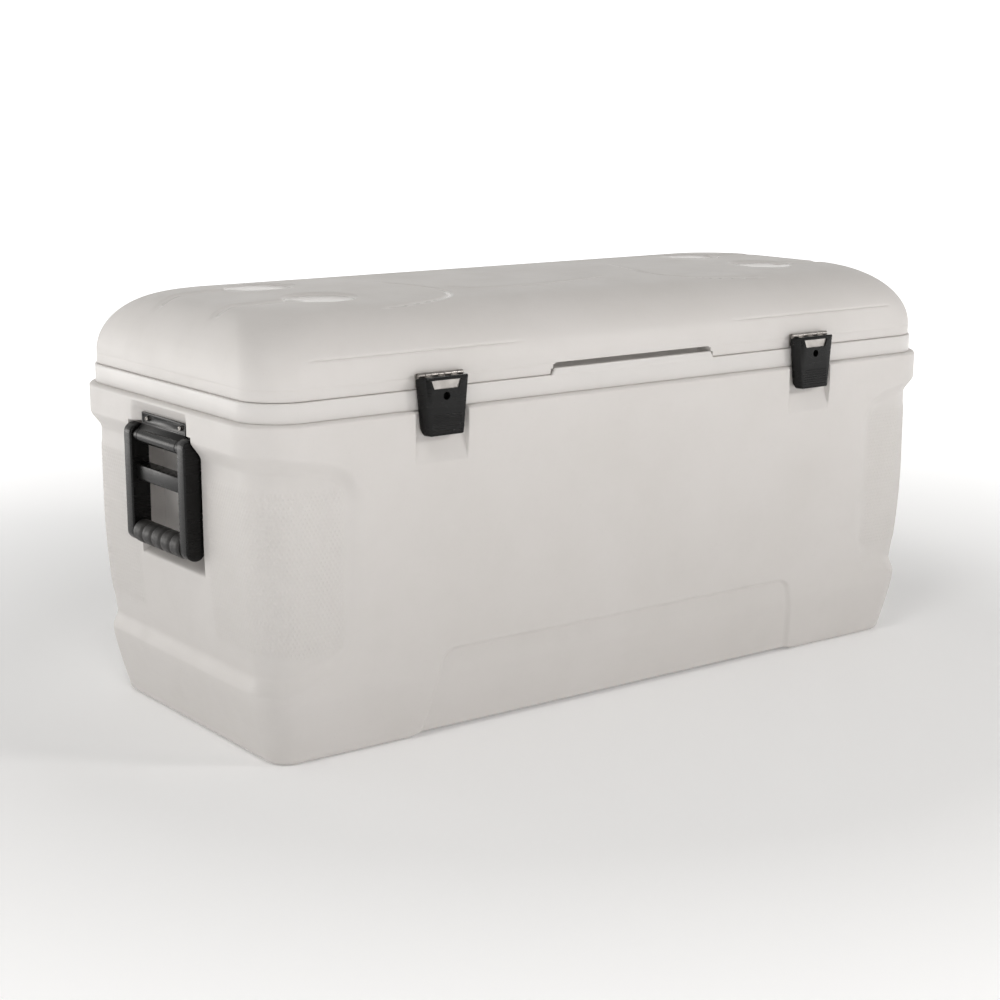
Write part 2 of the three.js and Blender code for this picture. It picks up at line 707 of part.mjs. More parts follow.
function latchLever() {
  const body = loft([
    leverOutline(LEVER_FRONT_Y, 30, 23.5, LEVER_TOP_Z, LEVER_LOW_Z, 2),
    leverOutline(LEVER_FRONT_Y + 9, 34.8, 28.3, LEVER_TOP_Z - 1.5, LEVER_LOW_Z, 4),
    leverOutline(LEVER_BACK_Y, 34.8, 28.6, LEVER_TOP_Z - 2.5, LEVER_LOW_Z + 4, 6),
  ].reverse());
  const inside = LEVER_FRONT_Y + LEVER_SKIN;
  const channel = loft([
    leverOutline(inside, 27, 21, 441, LEVER_LOW_Z + 3, 2),
    leverOutline(LEVER_FRONT_Y + 9, 32, 25.3, 441, LEVER_LOW_Z + 3, 2),
    leverOutline(LEVER_BACK_Y + 5, 32, 25.3, 441, LEVER_LOW_Z + 3, 2),
  ].reverse());
  const throat = box(-32, 32, LEVER_FRONT_Y + 5.5, LEVER_BACK_Y + 5, 432, 450);
  const window = prismY([[-17, 427.8], [17, 427.8], [20.8, 438], [-20.8, 438]], -250, inside + 0.5);
  const hookEnd = -233.8;
  const hookProfile = [[inside - 0.5, 382], [hookEnd, 386.5], [hookEnd, 388.2], [inside - 0.5, 388.2]];
  const hook = prismX(hookProfile, -13, 13);
  const room = box(-24, 24, inside + GAP - 0.2, inside + GAP + 1.8, 384, 441);
  const cut = [channel, throat, window, rod('y', LOCK_HOLE, -250, inside + 1, 0, LOCK_HOLE_Z, 12)];
  const lever = shape(body, { cut });
  return shape(lever, { add: [shape(hook, { cut: [room] }), hookWeb()] });
}

/** Rib that ties the catch bar to the lever's lower wall, behind the leaf. */
function hookWeb() {
  const behindLeaf = LEVER_FRONT_Y + LEVER_SKIN + GAP + 1.8;
  return box(-13, 13, behindLeaf, behindLeaf + 4, LEVER_LOW_Z + 2, 385);
}

function latchKeeper() {
  const seat = LATCH_SEAT_Y - GAP;
  const profile = [
    [seat, 388.9],
    [seat, 402],
    [seat - 1.6, 402],
    [seat - 1.6, 393.2],
    [seat - 4.5, 392.8],
    [seat - 5.9, 391.6],
    [seat - 5.9, 389.8],
    [seat - 5, 388.9],
  ].reverse();
  const cut = [-12, 12].map((dx) => rod('y', SCREW.hole, -236, -226, dx, KEEPER_SCREW_Z, 8));
  return shape(prismX(profile, -17, 17), { cut });
}

function latch(side, label) {
  const x = side * LATCH_X;
  const pieces = [
    mesh(`latch_hinge_plate_${label}`, latchHingePlate(), 'steel'),
    mesh(
      `latch_pin_${label}`,
      rod('x', LATCH_PIN, -KNUCKLE_HALF, KNUCKLE_HALF, LATCH_PIVOT_Y, LATCH_PIVOT_Z, 8),
      'steel',
    ),
    mesh(`latch_leaf_${label}`, latchLeaf(), 'steel'),
    mesh(`latch_lever_${label}`, latchLever(), 'black'),
    mesh(`latch_keeper_${label}`, latchKeeper(), 'black'),
  ];
  const plateFront = -HALF_WIDTH - LID_SIDE_OUT - 2;
  for (const [dx, end] of [[-15, 'a'], [15, 'b']]) {
    pieces.push(screw(`latch_plate_screw_${label}_${end}`, [dx, plateFront, 434], [0, -1, 0]));
  }
  for (const [dx, end] of [[-12, 'a'], [12, 'b']]) {
    pieces.push(screw(`keeper_screw_${label}_${end}`, [dx, LATCH_SEAT_Y - 1.9, KEEPER_SCREW_Z], [0, -1, 0]));
  }
  const group = new THREE.Group();
  group.add(...pieces);
  group.position.x = x;
  return group;
}

// ---- handle ----------------------------------------------------------------------------------

function bail() {
  const profile = armProfile(ARM_FRONT_X, ARM_BACK_X, ARM_LOW_Z, ARM_TOP_Z);
  const arm = prismY(profile, -ARM_OUT_Y, -ARM_IN_Y);
  const add = [
    prismY(profile, ARM_IN_Y, ARM_OUT_Y),
    box(-538, -519.5, -ARM_IN_Y - 1, ARM_IN_Y + 1, 302, 321),
    rod('y', GRIP_BAR_RADIUS, -ARM_IN_Y - 1, ARM_IN_Y + 1, HANDLE_X, GRIP_Z),
  ];
  const cut = [rod('y', HANDLE_PIN + 0.4, -72.5, 72.5, HANDLE_X, HANDLE_Z)];
  return shape(arm, { add, cut });
}

function grip() {
  const half = ARM_IN_Y - 0.6;
  const ribs = 5;
  const groove = 1.2;
  const profile = [[GRIP_BAR_RADIUS + 0.5, -half]];
  for (let i = 0; i < ribs; i += 1) {
    const from = -half + (2 * half * i) / ribs;
    const to = -half + (2 * half * (i + 1)) / ribs;
    const rise = GRIP_RADIUS;
    profile.push([rise - groove, from + 0.01], [rise, from + 3], [rise, to - 3]);
  }
  profile.push([GRIP_RADIUS - groove, half], [GRIP_BAR_RADIUS + 0.5, half], profile[0]);
  const points = profile.map(([r, y]) => new THREE.Vector2(r, y));
  return new THREE.LatheGeometry(points, 12).translate(HANDLE_X, 0, GRIP_Z);
}

function handleBracket() {
  const back = BRACKET_FACE_X - GAP;
  const plate = back - 3;
  const profile = [
    [back, 384],
    [plate, 384],
    [plate, 370],
    [HANDLE_X - 4, HANDLE_Z + 7],
    [HANDLE_X - 2, HANDLE_Z - 4],
    [HANDLE_X + 4, HANDLE_Z - 5],
    [back, 364.5],
  ];
  const barrel = rod('y', BARREL_RADIUS, -BARREL_HALF, BARREL_HALF, HANDLE_X, HANDLE_Z);
  const cut = [rod('y', HANDLE_PIN + 0.35, -60, 60, HANDLE_X, HANDLE_Z)];
  for (const y of [-42, 42]) {
    cut.push(rod('x', SCREW.hole, plate - 1, back + 1, y, 377, 8));
  }
  return shape(prismY(profile, -BARREL_HALF + 1, BARREL_HALF - 1), { add: [barrel], cut });
}

function handle(side, label) {
  const pieces = [
    mesh(`handle_bracket_${label}`, handleBracket(), 'black'),
    mesh(`handle_bail_${label}`, bail(), 'black'),
    mesh(`handle_grip_${label}`, grip(), 'rubber'),
    mesh(`handle_pin_${label}`, rod('y', HANDLE_PIN, -72, 72, HANDLE_X, HANDLE_Z), 'steel'),
  ];
  const plateFront = BRACKET_FACE_X - GAP - 3;
  for (const [y, end] of [[-42, 'a'], [42, 'b']]) {
    pieces.push(screw(`handle_screw_${label}_${end}`, [plateFront, y, 377], [-1, 0, 0]));
  }
  const group = new THREE.Group();
  group.add(...pieces);
  if (side > 0) group.rotation.z = Math.PI;
  return group;
}

// ---- rear hinge ------------------------------------------------------------------------------

/** One leaf: up = 1 for the lid's, -1 for the body's. */
function hingeLeaf(up) {
  const face = up > 0 ? HALF_WIDTH + LID_SIDE_OUT + 0.5 : HALF_WIDTH + BAND_OUT + 0.4;
  const near = HINGE_Z + up * 5;
  const far = HINGE_Z + up * 21;
  const strap = [
    [face, near],
    [face, near + up * 2],
    [HINGE_Y, HINGE_Z + up * HINGE_KNUCKLE],
    [HINGE_Y, HINGE_Z + up * 2.6],
    [HINGE_Y - 4, HINGE_Z + up * 2],
  ];
  const points = up > 0 ? strap.reverse() : strap;
  const [low, high] = [Math.min(near, far), Math.max(near, far)];
  const plate = box(-HINGE_HALF, HINGE_HALF, face, face + HINGE_LEAF, low, high);
  const add = barrels(HINGE_Y, HINGE_Z, HINGE_KNUCKLE, points, HINGE_HALF, 5, up > 0 ? 1 : 0, 12);
  const cut = [rod('x', HINGE_HOLE, -60, 60, HINGE_Y, HINGE_Z, 8)];
  const holeZ = up > 0 ? HINGE_LID_SCREW_Z : HINGE_SCREW_Z;
  for (const dx of [-30, 30]) {
    cut.push(rod('y', SCREW.hole, face - 1, face + 4, dx, holeZ, 8));
  }
  return shape(plate, { add, cut });
}

function rearHinge(side, label) {
  const pieces = [
    mesh(`hinge_body_leaf_${label}`, hingeLeaf(-1), 'steel'),
    mesh(`hinge_lid_leaf_${label}`, hingeLeaf(1), 'steel'),
    mesh(`hinge_pin_${label}`, rod('x', HINGE_PIN, -HINGE_HALF, HINGE_HALF, HINGE_Y, HINGE_Z, 8), 'steel'),
  ];
  const bodyFace = HALF_WIDTH + BAND_OUT + 0.4 + HINGE_LEAF;
  const lidFace = HALF_WIDTH + LID_SIDE_OUT + 0.5 + HINGE_LEAF;
  for (const [dx, end] of [[-30, 'a'], [30, 'b']]) {
    pieces.push(screw(`hinge_body_screw_${label}_${end}`, [dx, bodyFace, HINGE_SCREW_Z], [0, 1, 0]));
    pieces.push(screw(`hinge_lid_screw_${label}_${end}`, [dx, lidFace, HINGE_LID_SCREW_Z], [0, 1, 0]));
  }
  const group = new THREE.Group();
  group.add(...pieces);
  group.position.x = side * HINGE_X;
  return group;
}

// ---- drain -----------------------------------------------------------------------------------

/** Turned part about the drain's axis from [radius, x] points on a closed profile. */
function turned(profile, sides = 12) {
  const points = [...profile, profile[0]].map(([r, x]) => new THREE.Vector2(r, x));
  return new THREE.LatheGeometry(points, sides).rotateZ(-Math.PI / 2).translate(0, 0, DRAIN_Z);
}

function drain() {
  const seat = DRAIN_SEAT_X + 1.8;
  const spout = turned([
    [SPOUT_BORE, 463.5],
    [SPOUT_RADIUS, 463.5],
    [SPOUT_RADIUS, seat],
    [18, seat],
    [18, seat + 2.5],
    [SPOUT_RADIUS, seat + 2.5],
    [SPOUT_RADIUS, SPOUT_END_X],
    [SPOUT_BORE, SPOUT_END_X],
  ]);
  const [washerLow, washerHigh] = [DRAIN_SEAT_X + GAP, seat - GAP];
  const washer = turned([[11.5, washerLow], [17, washerLow], [17, washerHigh], [11.5, washerHigh]]);
  const nut = shape(rod('x', 14, 464.5, 471.8, 0, DRAIN_Z, 6), {
    cut: [rod('x', SPOUT_RADIUS + 0.5, 460, 480, 0, DRAIN_Z, 16)],
  });
  const sealBack = SPOUT_END_X + GAP;
  const seal = turned([[7, sealBack], [10.8, sealBack], [10.8, sealBack + 1.6], [7, sealBack + 1.6]]);
  const lip = seat + 3;
  const crown = sealBack + 1.6 + GAP;
  const capProfile = [
    [0, crown],
    [11.6, crown],
    [11.6, lip],
    [16, lip],
    [16, crown + 1],
    [14.5, crown + 2.5],
    [0, crown + 2.5],
  ].map(([r, x]) => new THREE.Vector2(r, x));
  const cap = new THREE.LatheGeometry(capProfile, 12).rotateZ(-Math.PI / 2).translate(0, 0, DRAIN_Z);
  return [
    mesh('drain_spout', spout, 'black'),
    mesh('drain_washer', washer, 'rubber'),
    mesh('drain_nut', nut, 'black'),
    mesh('drain_seal', seal, 'rubber'),
    mesh('drain_cap', cap, 'black'),
  ];
}

// ---- assembly --------------------------------------------------------------------------------

const cooler = new THREE.Group();
cooler.add(
  mesh('outer_shell', outerShell(), 'shell'),
  mesh('inner_liner', innerLiner(), 'liner'),
  mesh('body_foam', bodyFoam(), 'foam'),
  mesh('lid_outer', lidOuter(), 'shell'),
  mesh('lid_inner', lidInner(), 'liner'),
  mesh('lid_foam', lidFoam(), 'foam'),
  ...drain(),
);
for (const [side, label] of [[-1, 'left'], [1, 'right']]) {
  cooler.add(latch(side, label), handle(side, label), rearHinge(side, label));
}

export default cooler;
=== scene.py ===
import json
import math

import bmesh
import bpy
import numpy as np
from mathutils import Matrix, Vector


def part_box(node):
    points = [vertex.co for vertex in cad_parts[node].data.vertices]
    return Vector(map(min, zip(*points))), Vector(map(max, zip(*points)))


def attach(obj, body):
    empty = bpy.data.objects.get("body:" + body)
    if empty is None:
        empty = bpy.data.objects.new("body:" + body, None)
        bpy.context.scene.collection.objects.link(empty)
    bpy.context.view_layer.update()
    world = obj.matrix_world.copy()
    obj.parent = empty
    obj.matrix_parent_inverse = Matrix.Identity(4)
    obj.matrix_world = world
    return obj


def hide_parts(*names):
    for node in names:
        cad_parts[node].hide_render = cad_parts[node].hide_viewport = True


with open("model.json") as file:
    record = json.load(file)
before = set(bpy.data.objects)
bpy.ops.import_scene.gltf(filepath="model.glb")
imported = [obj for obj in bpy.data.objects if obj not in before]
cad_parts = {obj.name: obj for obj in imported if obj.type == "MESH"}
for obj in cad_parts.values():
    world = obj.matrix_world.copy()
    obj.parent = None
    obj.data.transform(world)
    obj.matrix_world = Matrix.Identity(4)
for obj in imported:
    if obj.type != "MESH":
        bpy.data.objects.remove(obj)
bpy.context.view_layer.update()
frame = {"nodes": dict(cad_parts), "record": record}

MM = 0.001


# ---- camera ----

CAMERA_PLACE = (-1.554869, -2.053171, 0.773353)
CAMERA_DOWN = 12.181  # degrees below level
CAMERA_TURN = -36.429  # degrees from looking along +Y

camera_data = bpy.data.cameras.new("camera")
camera_data.lens = 70.35
camera_data.sensor_width = 36
camera_data.dof.use_dof = False
camera = bpy.data.objects.new("camera", camera_data)
camera.location = CAMERA_PLACE
camera.rotation_euler = [math.radians(a) for a in (90 - CAMERA_DOWN, 0.0, CAMERA_TURN)]
bpy.context.scene.collection.objects.link(camera)
bpy.context.scene.camera = camera

# ---- dimensions, in millimetres, the same as the CAD's ----

GAP = 0.3
HALF_X, HALF_Y, CORNER = 525, 224, 52.5
SEAM = 426.5
BELT_LOW, BELT_TOP, SHELL_TOP, NECK_TOP = 368, 399, 403.4, 416
BELT_OUT, BULGE_OUT, BULGE_Z, FOOT = 12.4, -5, 81, 11
LATCH_X, PIVOT_Y, PIVOT_Z = 295.7, -231.5, 443
SEAT_Y = -229
LOCK_Z, LOCK_BORE = 419.5, 4.7
POCKET_HALF, POCKET_BACK, BRACKET_SEAT = 80, -31.0, 2.2
HANDLE_X, HANDLE_Z, GRIP_Z = -534, 356.5, 239
HINGE_Y = 240.8
DRAIN_Z = 66
NOTCH_HALF, NOTCH_LOW = 132.7, 422.5  # the finger notch in the lid's front edge
NOTCH_SLANT = 10.7  # what each end of the notch comes in by over NOTCH_RISE
NOTCH_RISE = 18

# ---- number helpers ----


def ramp(value, start, end):
    return np.clip((value - start) / (end - start), 0, 1)


def smooth(value, start, end):
    t = ramp(value, start, end)
    return t * t * (3 - 2 * t)


def mix(a, b, t):
    return a + (b - a) * t


def spread(*spans):
    """Values along a line: (start, end, step) spans, both ends kept."""
    values = []
    for start, end, step in spans:
        count = max(1, round((end - start) / step))
        values += list(np.linspace(start, end, count + 1)[:-1])
    return np.array(values + [spans[-1][1]], float)


# ---- stations round a rounded rectangle ----


class Plan:
    """Stations round a rounded rectangle, counter-clockwise from the front's left end."""

    def __init__(self, front, side, arcs):
        """front and side: fractions -1..1 of the straight lengths; arcs: steps in each corner."""
        self.quarter = np.linspace(0, math.pi / 2, arcs + 1)[1:-1]
        rows = []

        def arc(cx, cy, start):
            rows.extend((cx, cy, math.cos(start + a), math.sin(start + a)) for a in self.quarter)

        rows.extend((u, -1, 0, -1) for u in front)
        arc(1, -1, -math.pi / 2)
        rows.extend((1, t, 1, 0) for t in side)
        arc(1, 1, 0)
        rows.extend((-u, 1, 0, 1) for u in front)
        arc(-1, 1, math.pi / 2)
        rows.extend((-1, -t, -1, 0) for t in side)
        arc(-1, -1, math.pi)
        self.fx, self.fy, self.nx, self.ny = np.array(rows, float).T
        self.count = len(rows)

    def points(self, half_x, half_y, radius):
        x = self.fx * (half_x - radius) + self.nx * radius
        y = self.fy * (half_y - radius) + self.ny * radius
        return x, y

    def level(self, half_x, half_y, radius, z):
        x, y = self.points(half_x, half_y, radius)
        return np.stack([x, y, np.broadcast_to(z, x.shape)], 1)


# ---- mesh helpers ----


def mesh_from(name, vertices, faces):
    mesh = bpy.data.meshes.new(name)
    mesh.from_pydata((np.asarray(vertices, float) * MM).tolist(), [], faces)
    mesh.update()
    thing = bpy.data.objects.new(name, mesh)
    bpy.context.scene.collection.objects.link(thing)
    return thing


def ring_faces(levels, count):
    """Four-sided faces between rings of count points."""
    k = np.arange(levels - 1)[:, None] * count
    i = np.arange(count)[None, :]
    j = (i + 1) % count
    quads = np.stack([k + i, k + j, k + j + count, k + i + count], -1)
    return quads.reshape(-1, 4).tolist()


def loft(name, levels, start=True, end=True):
    """Skin through rings of equal length; start and end close it with a flat face."""
    levels = [np.asarray(ring, float) for ring in levels]
    count = len(levels[0])
    faces = ring_faces(len(levels), count)
    if start:
        faces.append(list(range(count))[::-1])
    if end:
        last = (len(levels) - 1) * count
        faces.append(list(range(last, last + count)))
    return mesh_from(name, np.concatenate(levels), faces)


def turn_points(points, axis, u=0.0, v=0.0):
    """(a, b, t) with t along the axis, placed at (u, v) of the other two coordinates."""
    a, b, t = np.asarray(points, float).T
    columns = {
        "x": (t, a + u, b + v),
        "y": (b + u, t, a + v),
        "z": (a + u, b + v, t),
    }[axis]
    return np.stack(columns, 1)


def lathe(name, profile, axis, u, v, sides=48):
    """Turned part from (radius, along) points; it has a bore unless an end's radius is 0."""
    angles = np.linspace(0, 2 * math.pi, sides, endpoint=False)
    rings = []
    for radius, along in profile:
        ring = [(radius * math.cos(a), radius * math.sin(a), along) for a in angles]
        rings.append(turn_points(ring, axis, u, v))
    if profile[0][0] > 0 and profile[-1][0] > 0:
        rings.append(rings[0])
    return weld(loft(name, rings, start=False, end=False))


def rod(axis, radius, start, end, u, v, sides=40, round_off=0.0):
    """Cylinder between two coordinates along an axis, its rims rounded by round_off."""
    profile = [(radius, start), (radius, end)]
    if round_off:
        r, bite = round_off, 0.3 * round_off
        profile = [(radius - r, start), (radius - bite, start + bite), (radius, start + r),
                   (radius, end - r), (radius - bite, end - bite), (radius - r, end)]
    return lathe("rod", [(0.0, start), *profile, (0.0, end)], axis, u, v, sides)


def prism(axis, points, start, end):
    """Polygon carried along X ([y, z] points), Y ([x, z] points) or Z ([x, y] points)."""
    column = "xyz".index(axis)
    rings = [np.insert(np.asarray(points, float), column, t, axis=1) for t in (start, end)]
    return outward(loft("prism", rings))


def block(x0, x1, y0, y1, z0, z1):
    return prism("z", [[x0, y0], [x1, y0], [x1, y1], [x0, y1]], z0, z1)


def rework(part, step):
    """Runs a step on an edit copy of the part's mesh and puts it back."""
    work = bmesh.new()
    work.from_mesh(part.data)
    step(work)
    work.to_mesh(part.data)
    work.free()
    return part


def face_outward(work):
    bmesh.ops.recalc_face_normals(work, faces=work.faces)


def outward(part):
    return rework(part, face_outward)


def weld(part, distance=1e-6):
    """Merges points that meet, with distance in metres."""

    def step(work):
        bmesh.ops.remove_doubles(work, verts=work.verts, dist=distance)
        bmesh.ops.dissolve_degenerate(work, edges=work.edges, dist=distance)
        face_outward(work)

    return rework(part, step)


def applied(part):
    """Turns the part's modifiers into plain mesh."""
    bpy.context.view_layer.update()
    graph = bpy.context.evaluated_depsgraph_get()
    made = bpy.data.meshes.new_from_object(part.evaluated_get(graph))
    part.modifiers.clear()
    part.data = made
    return part


def boolean(part, others, operation):
    """Adds or cuts the others, which are used up."""
    for other in others:
        modifier = part.modifiers.new("boolean", "BOOLEAN")
        modifier.operation = operation
        modifier.solver = "EXACT"
        modifier.object = other
    applied(part)
    for other in others:
        bpy.data.objects.remove(other)
    return part


def cut(part, *others):
    return boolean(part, others, "DIFFERENCE")


def add(part, *others):
    return boolean(part, others, "UNION")


def join(part, *others):
    """Puts the others' meshes into the part's, unchanged."""

    def step(work):
        for thing in others:
            work.from_mesh(thing.data)

    rework(part, step)
    for thing in others:
        bpy.data.objects.remove(thing)
    return part


def soften(part, angle):
    """Shades the part smooth, except across edges sharper than angle degrees."""
    mesh = part.data
    mesh.polygons.foreach_set("use_smooth", [True] * len(mesh.polygons))
    mesh.set_sharp_from_angle(angle=math.radians(angle))


def bevel(part, width, segments=2, angle=30.0):
    """Rounds the part's edges that are sharper than angle degrees; width is in millimetres."""
    flat = math.radians(2)
    rework(part, lambda work: bmesh.ops.dissolve_limit(
        work, angle_limit=flat, verts=work.verts, edges=work.edges))
    modifier = part.modifiers.new("bevel", "BEVEL")
    modifier.width = width * MM
    modifier.segments = segments
    modifier.limit_method = "ANGLE"
    modifier.angle_limit = math.radians(angle)
    modifier.use_clamp_overlap = True
    return applied(part)


def shift(part, dx):
    """Moves the part along X, in millimetres."""
    part.data.transform(Matrix.Translation(Vector((dx, 0, 0)) * MM))
    return part


def half_turn(part):
    part.data.transform(Matrix.Rotation(math.pi, 4, "Z"))
    return part


def copy_of(part):
    thing = bpy.data.objects.new(part.name, part.data.copy())
    bpy.context.scene.collection.objects.link(thing)
    return thing


# ---- materials ----


class Nodes:
    """A node tree built step by step."""

    def __init__(self, tree):
        self.tree = tree

    def node(self, kind, **settings):
        made = self.tree.nodes.new(kind)
        for key, value in settings.items():
            setattr(made, key, value)
        return made

    def link(self, output, socket):
        self.tree.links.new(output, socket)

    def band(self, value, low, high, to_low=0.0, to_high=1.0):
        """The value's range low..high, spread over to_low..to_high."""
        made = self.node("ShaderNodeMapRange")
        numbers = {"From Min": low, "From Max": high, "To Min": to_low, "To Max": to_high}
        for key, number in numbers.items():
            made.inputs[key].default_value = number
        self.link(value, made.inputs["Value"])
        return made.outputs["Result"]

    def blend(self, factor, first, second):
        made = self.node("ShaderNodeMix", data_type="RGBA")
        self.link(factor, made.inputs[0])
        for socket, value in ((made.inputs[6], first), (made.inputs[7], second)):
            if isinstance(value, tuple):
                socket.default_value = (*value, 1)
            else:
                self.link(value, socket)
        return made.outputs[2]


class Finish(Nodes):
    """A node material on the object's own coordinates."""

    def __init__(self, name):
        self.material = bpy.data.materials.new(name)
        self.material.use_nodes = True
        super().__init__(self.material.node_tree)
        self.shader = self.tree.nodes["Principled BSDF"]
        self.place = self.node("ShaderNodeTexCoord").outputs["Object"]

    def stretched(self, scale):
        mapping = self.node("ShaderNodeMapping")
        mapping.inputs["Scale"].default_value = scale
        self.link(self.place, mapping.inputs["Vector"])
        return mapping.outputs["Vector"]

    def noise(self, scale, detail=3.0, rough=0.55, vector=None):
        made = self.node("ShaderNodeTexNoise")
        made.inputs["Scale"].default_value = scale
        made.inputs["Detail"].default_value = detail
        made.inputs["Roughness"].default_value = rough
        self.link(vector or self.place, made.inputs["Vector"])
        return made.outputs["Fac"]

    def cells(self, scale):
        made = self.node("ShaderNodeTexVoronoi")
        made.inputs["Scale"].default_value = scale
        self.link(self.place, made.inputs["Vector"])
        return made.outputs["Distance"]

    def math(self, operation, first, second):
        made = self.node("ShaderNodeMath", operation=operation)
        for socket, value in zip(made.inputs, (first, second)):
            if isinstance(value, (int, float)):
                socket.default_value = value
            else:
                self.link(value, socket)
        return made.outputs[0]

    def bump(self, height, distance, strength=1.0, under=None):
        made = self.node("ShaderNodeBump")
        made.inputs["Distance"].default_value = distance * MM
        made.inputs["Strength"].default_value = strength
        self.link(height, made.inputs["Height"])
        if under is not None:
            self.link(under, made.inputs["Normal"])
        return made.outputs["Normal"]

    def set(self, name, value):
        socket = self.shader.inputs[name]
        if hasattr(value, "is_linked"):
            self.link(value, socket)
        else:
            socket.default_value = value


POLISHED_ROUGHNESS = 0.24


def scaled(colour, factor):
    return tuple(c * factor for c in colour)


def plastic(name, light, dark, rough, grain, scuffs, shine=0.5, polished_and_highlit=False):
    """Moulded plastic: fine grain, slow changes of tone, worn and dusty patches.

    Where the mesh has a "polish" attribute and polished is set, the plastic is smooth, and its colour is
    paler there as a painted highlight.
    """
    f = Finish(name)
    tone = f.noise(6.0, 4.0)
    patch = f.band(f.noise(22.0, 5.0, 0.62), 0.46, 0.72)
    colour = f.blend(f.band(tone, 0.3, 0.7), light, dark)
    speck = f.band(f.noise(420.0, 2.0), 0.62, 0.75)
    colour = f.blend(f.math("MULTIPLY", speck, scuffs), colour, scaled(dark, 0.72))
    colour = f.blend(f.math("MULTIPLY", patch, scuffs), colour, scaled(dark, 0.86))
    streak = f.noise(1.0, 4.0, 0.6, f.stretched((14.0, 14.0, 190.0)))
    worn = f.band(f.math("ADD", f.band(streak, 0.4, 0.7), patch), 0.0, 2.0, rough - 0.07, rough + 0.10)
    if polished_and_highlit:
        mark = f.node("ShaderNodeAttribute", attribute_name="polish_and_highlight").outputs["Fac"]
        # The paler colour on the marks is a painted highlight; only the lower roughness is real polish.
        colour = f.blend(mark, colour, scaled(light, 1.07))
        shiny = f.node("ShaderNodeMix")
        f.link(mark, shiny.inputs[0])
        f.link(worn, shiny.inputs[2])
        shiny.inputs[3].default_value = POLISHED_ROUGHNESS
        worn = shiny.outputs[0]
    f.set("Base Color", colour)
    f.set("Roughness", worn)
    f.set("Specular IOR Level", shine)
    fine = f.bump(f.noise(1500.0, 2.0), grain)
    coarse = f.bump(f.noise(38.0, 2.0), grain * 3.2, 0.35, fine)
    f.set("Normal", coarse)
    return f


def steel():
    f = Finish("stainless_steel")
    lines = f.noise(1.0, 3.0, 0.7, f.stretched((60.0, 900.0, 2400.0)))
    cloud = f.noise(70.0, 3.0)
    f.set("Base Color", f.blend(f.band(cloud, 0.3, 0.7), (0.50, 0.475, 0.45), (0.36, 0.34, 0.32)))
    f.set("Metallic", 1.0)
    f.set("Roughness", f.band(f.math("ADD", lines, cloud), 0.7, 1.3, 0.30, 0.48))
    f.set("Normal", f.bump(lines, 0.04, 0.5))
    return f


def rubber(name, colour, rough):
    f = Finish(name)
    wear = f.band(f.noise(90.0, 4.0, 0.6), 0.4, 0.75)
    f.set("Base Color", f.blend(wear, colour, tuple(c * 1.7 + 0.003 for c in colour)))
    f.set("Roughness", f.band(f.noise(260.0, 3.0), 0.3, 0.7, rough - 0.08, rough + 0.08))
    f.set("Normal", f.bump(f.noise(1300.0, 3.0), 0.09, 0.7))
    return f


def foam():
    f = Finish("insulating_foam")
    cell = f.cells(900.0)
    f.set("Base Color", f.blend(f.band(cell, 0.0, 0.7), (0.80, 0.70, 0.44), (0.88, 0.80, 0.58)))
    f.set("Roughness", f.band(f.noise(300.0), 0.3, 0.7, 0.8, 0.97))
    f.set("Normal", f.bump(cell, 0.5))
    return f


FINISHES = {
    "shell_plastic": plastic(
        "shell_plastic", (0.70, 0.675, 0.655), (0.67, 0.645, 0.62),
        rough=0.52, grain=0.030, scuffs=0.10, polished_and_highlit=True),
    "liner_plastic": plastic(
        "liner_plastic", (0.71, 0.688, 0.668), (0.685, 0.665, 0.645),
        rough=0.42, grain=0.015, scuffs=0.08),
    "black_plastic": plastic(
        "black_plastic", (0.0042, 0.004, 0.0038), (0.0028, 0.0027, 0.0026),
        rough=0.30, grain=0.030, scuffs=0.15, shine=0.22),
    "insulating_foam": foam(),
    "grip_rubber": rubber("grip_rubber", (0.014, 0.013, 0.012), 0.5),
    "seal_rubber": rubber("seal_rubber", (0.014, 0.014, 0.014), 0.70),
    "stainless_steel": steel(),
}

BODIES = frame["record"]["behaviour"]["bodies"]
BODY_OF = {node: body for body, nodes in BODIES.items() for node in nodes}
SLOT_OF = {row["node"]: row["material_slot"] for row in frame["record"]["subparts"]}


def finish_part(part, node, angle=35.0):
    """Names the part after its CAD node, gives it the node's finish and body, and hides the node."""
    part.name = "v_" + node
    part.data.name = part.name
    soften(part, angle)
    part.data.materials.clear()
    part.data.materials.append(FINISHES[SLOT_OF[node]].material)
    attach(part, BODY_OF[node])
    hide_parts(node)


# ---- outer shell ----

STEP = 1.3745  # a quarter of the diamond pitch, and 1/60 of a corner arc
PITCH = 4 * STEP
ROW = 9.52
CORE_X, CORE_Y = HALF_X - CORNER, HALF_Y - CORNER


def mirrored(values):
    """The values and their negatives, in order."""
    values = np.unique(np.round(values, 5))
    return np.unique(np.concatenate([-values[::-1], values]))


# Stations are close together where a latch seat, the pocket or the diamonds begin and end.
front_x = spread((0, 256, 8), (256, 264, 1), (264, 312, 2.2), (312, 326, 3.5), (326, 336, 1),
                 (336, CORE_X - 46 * STEP, 4), (CORE_X - 46 * STEP, CORE_X, STEP))
side_y = spread((0, 30, 2.5), (30, 55, 3.5), (55, 60, 0.6), (60, 72, 3), (72, 84.5, 0.9),
                (84.5, CORE_Y - 60 * STEP, 1.0), (CORE_Y - 60 * STEP, CORE_Y, STEP))
SHELL = Plan(mirrored(front_x) / CORE_X, mirrored(side_y) / CORE_Y, 60)
SX, SY = SHELL.points(HALF_X, HALF_Y, CORNER)
FRONT = SHELL.ny < -0.999
BROAD = smooth(np.abs(SHELL.ny), 0.9, 0.999)  # 1 on the front and the back, fading into the corners
ENDS = np.abs(SHELL.nx) > 0.999


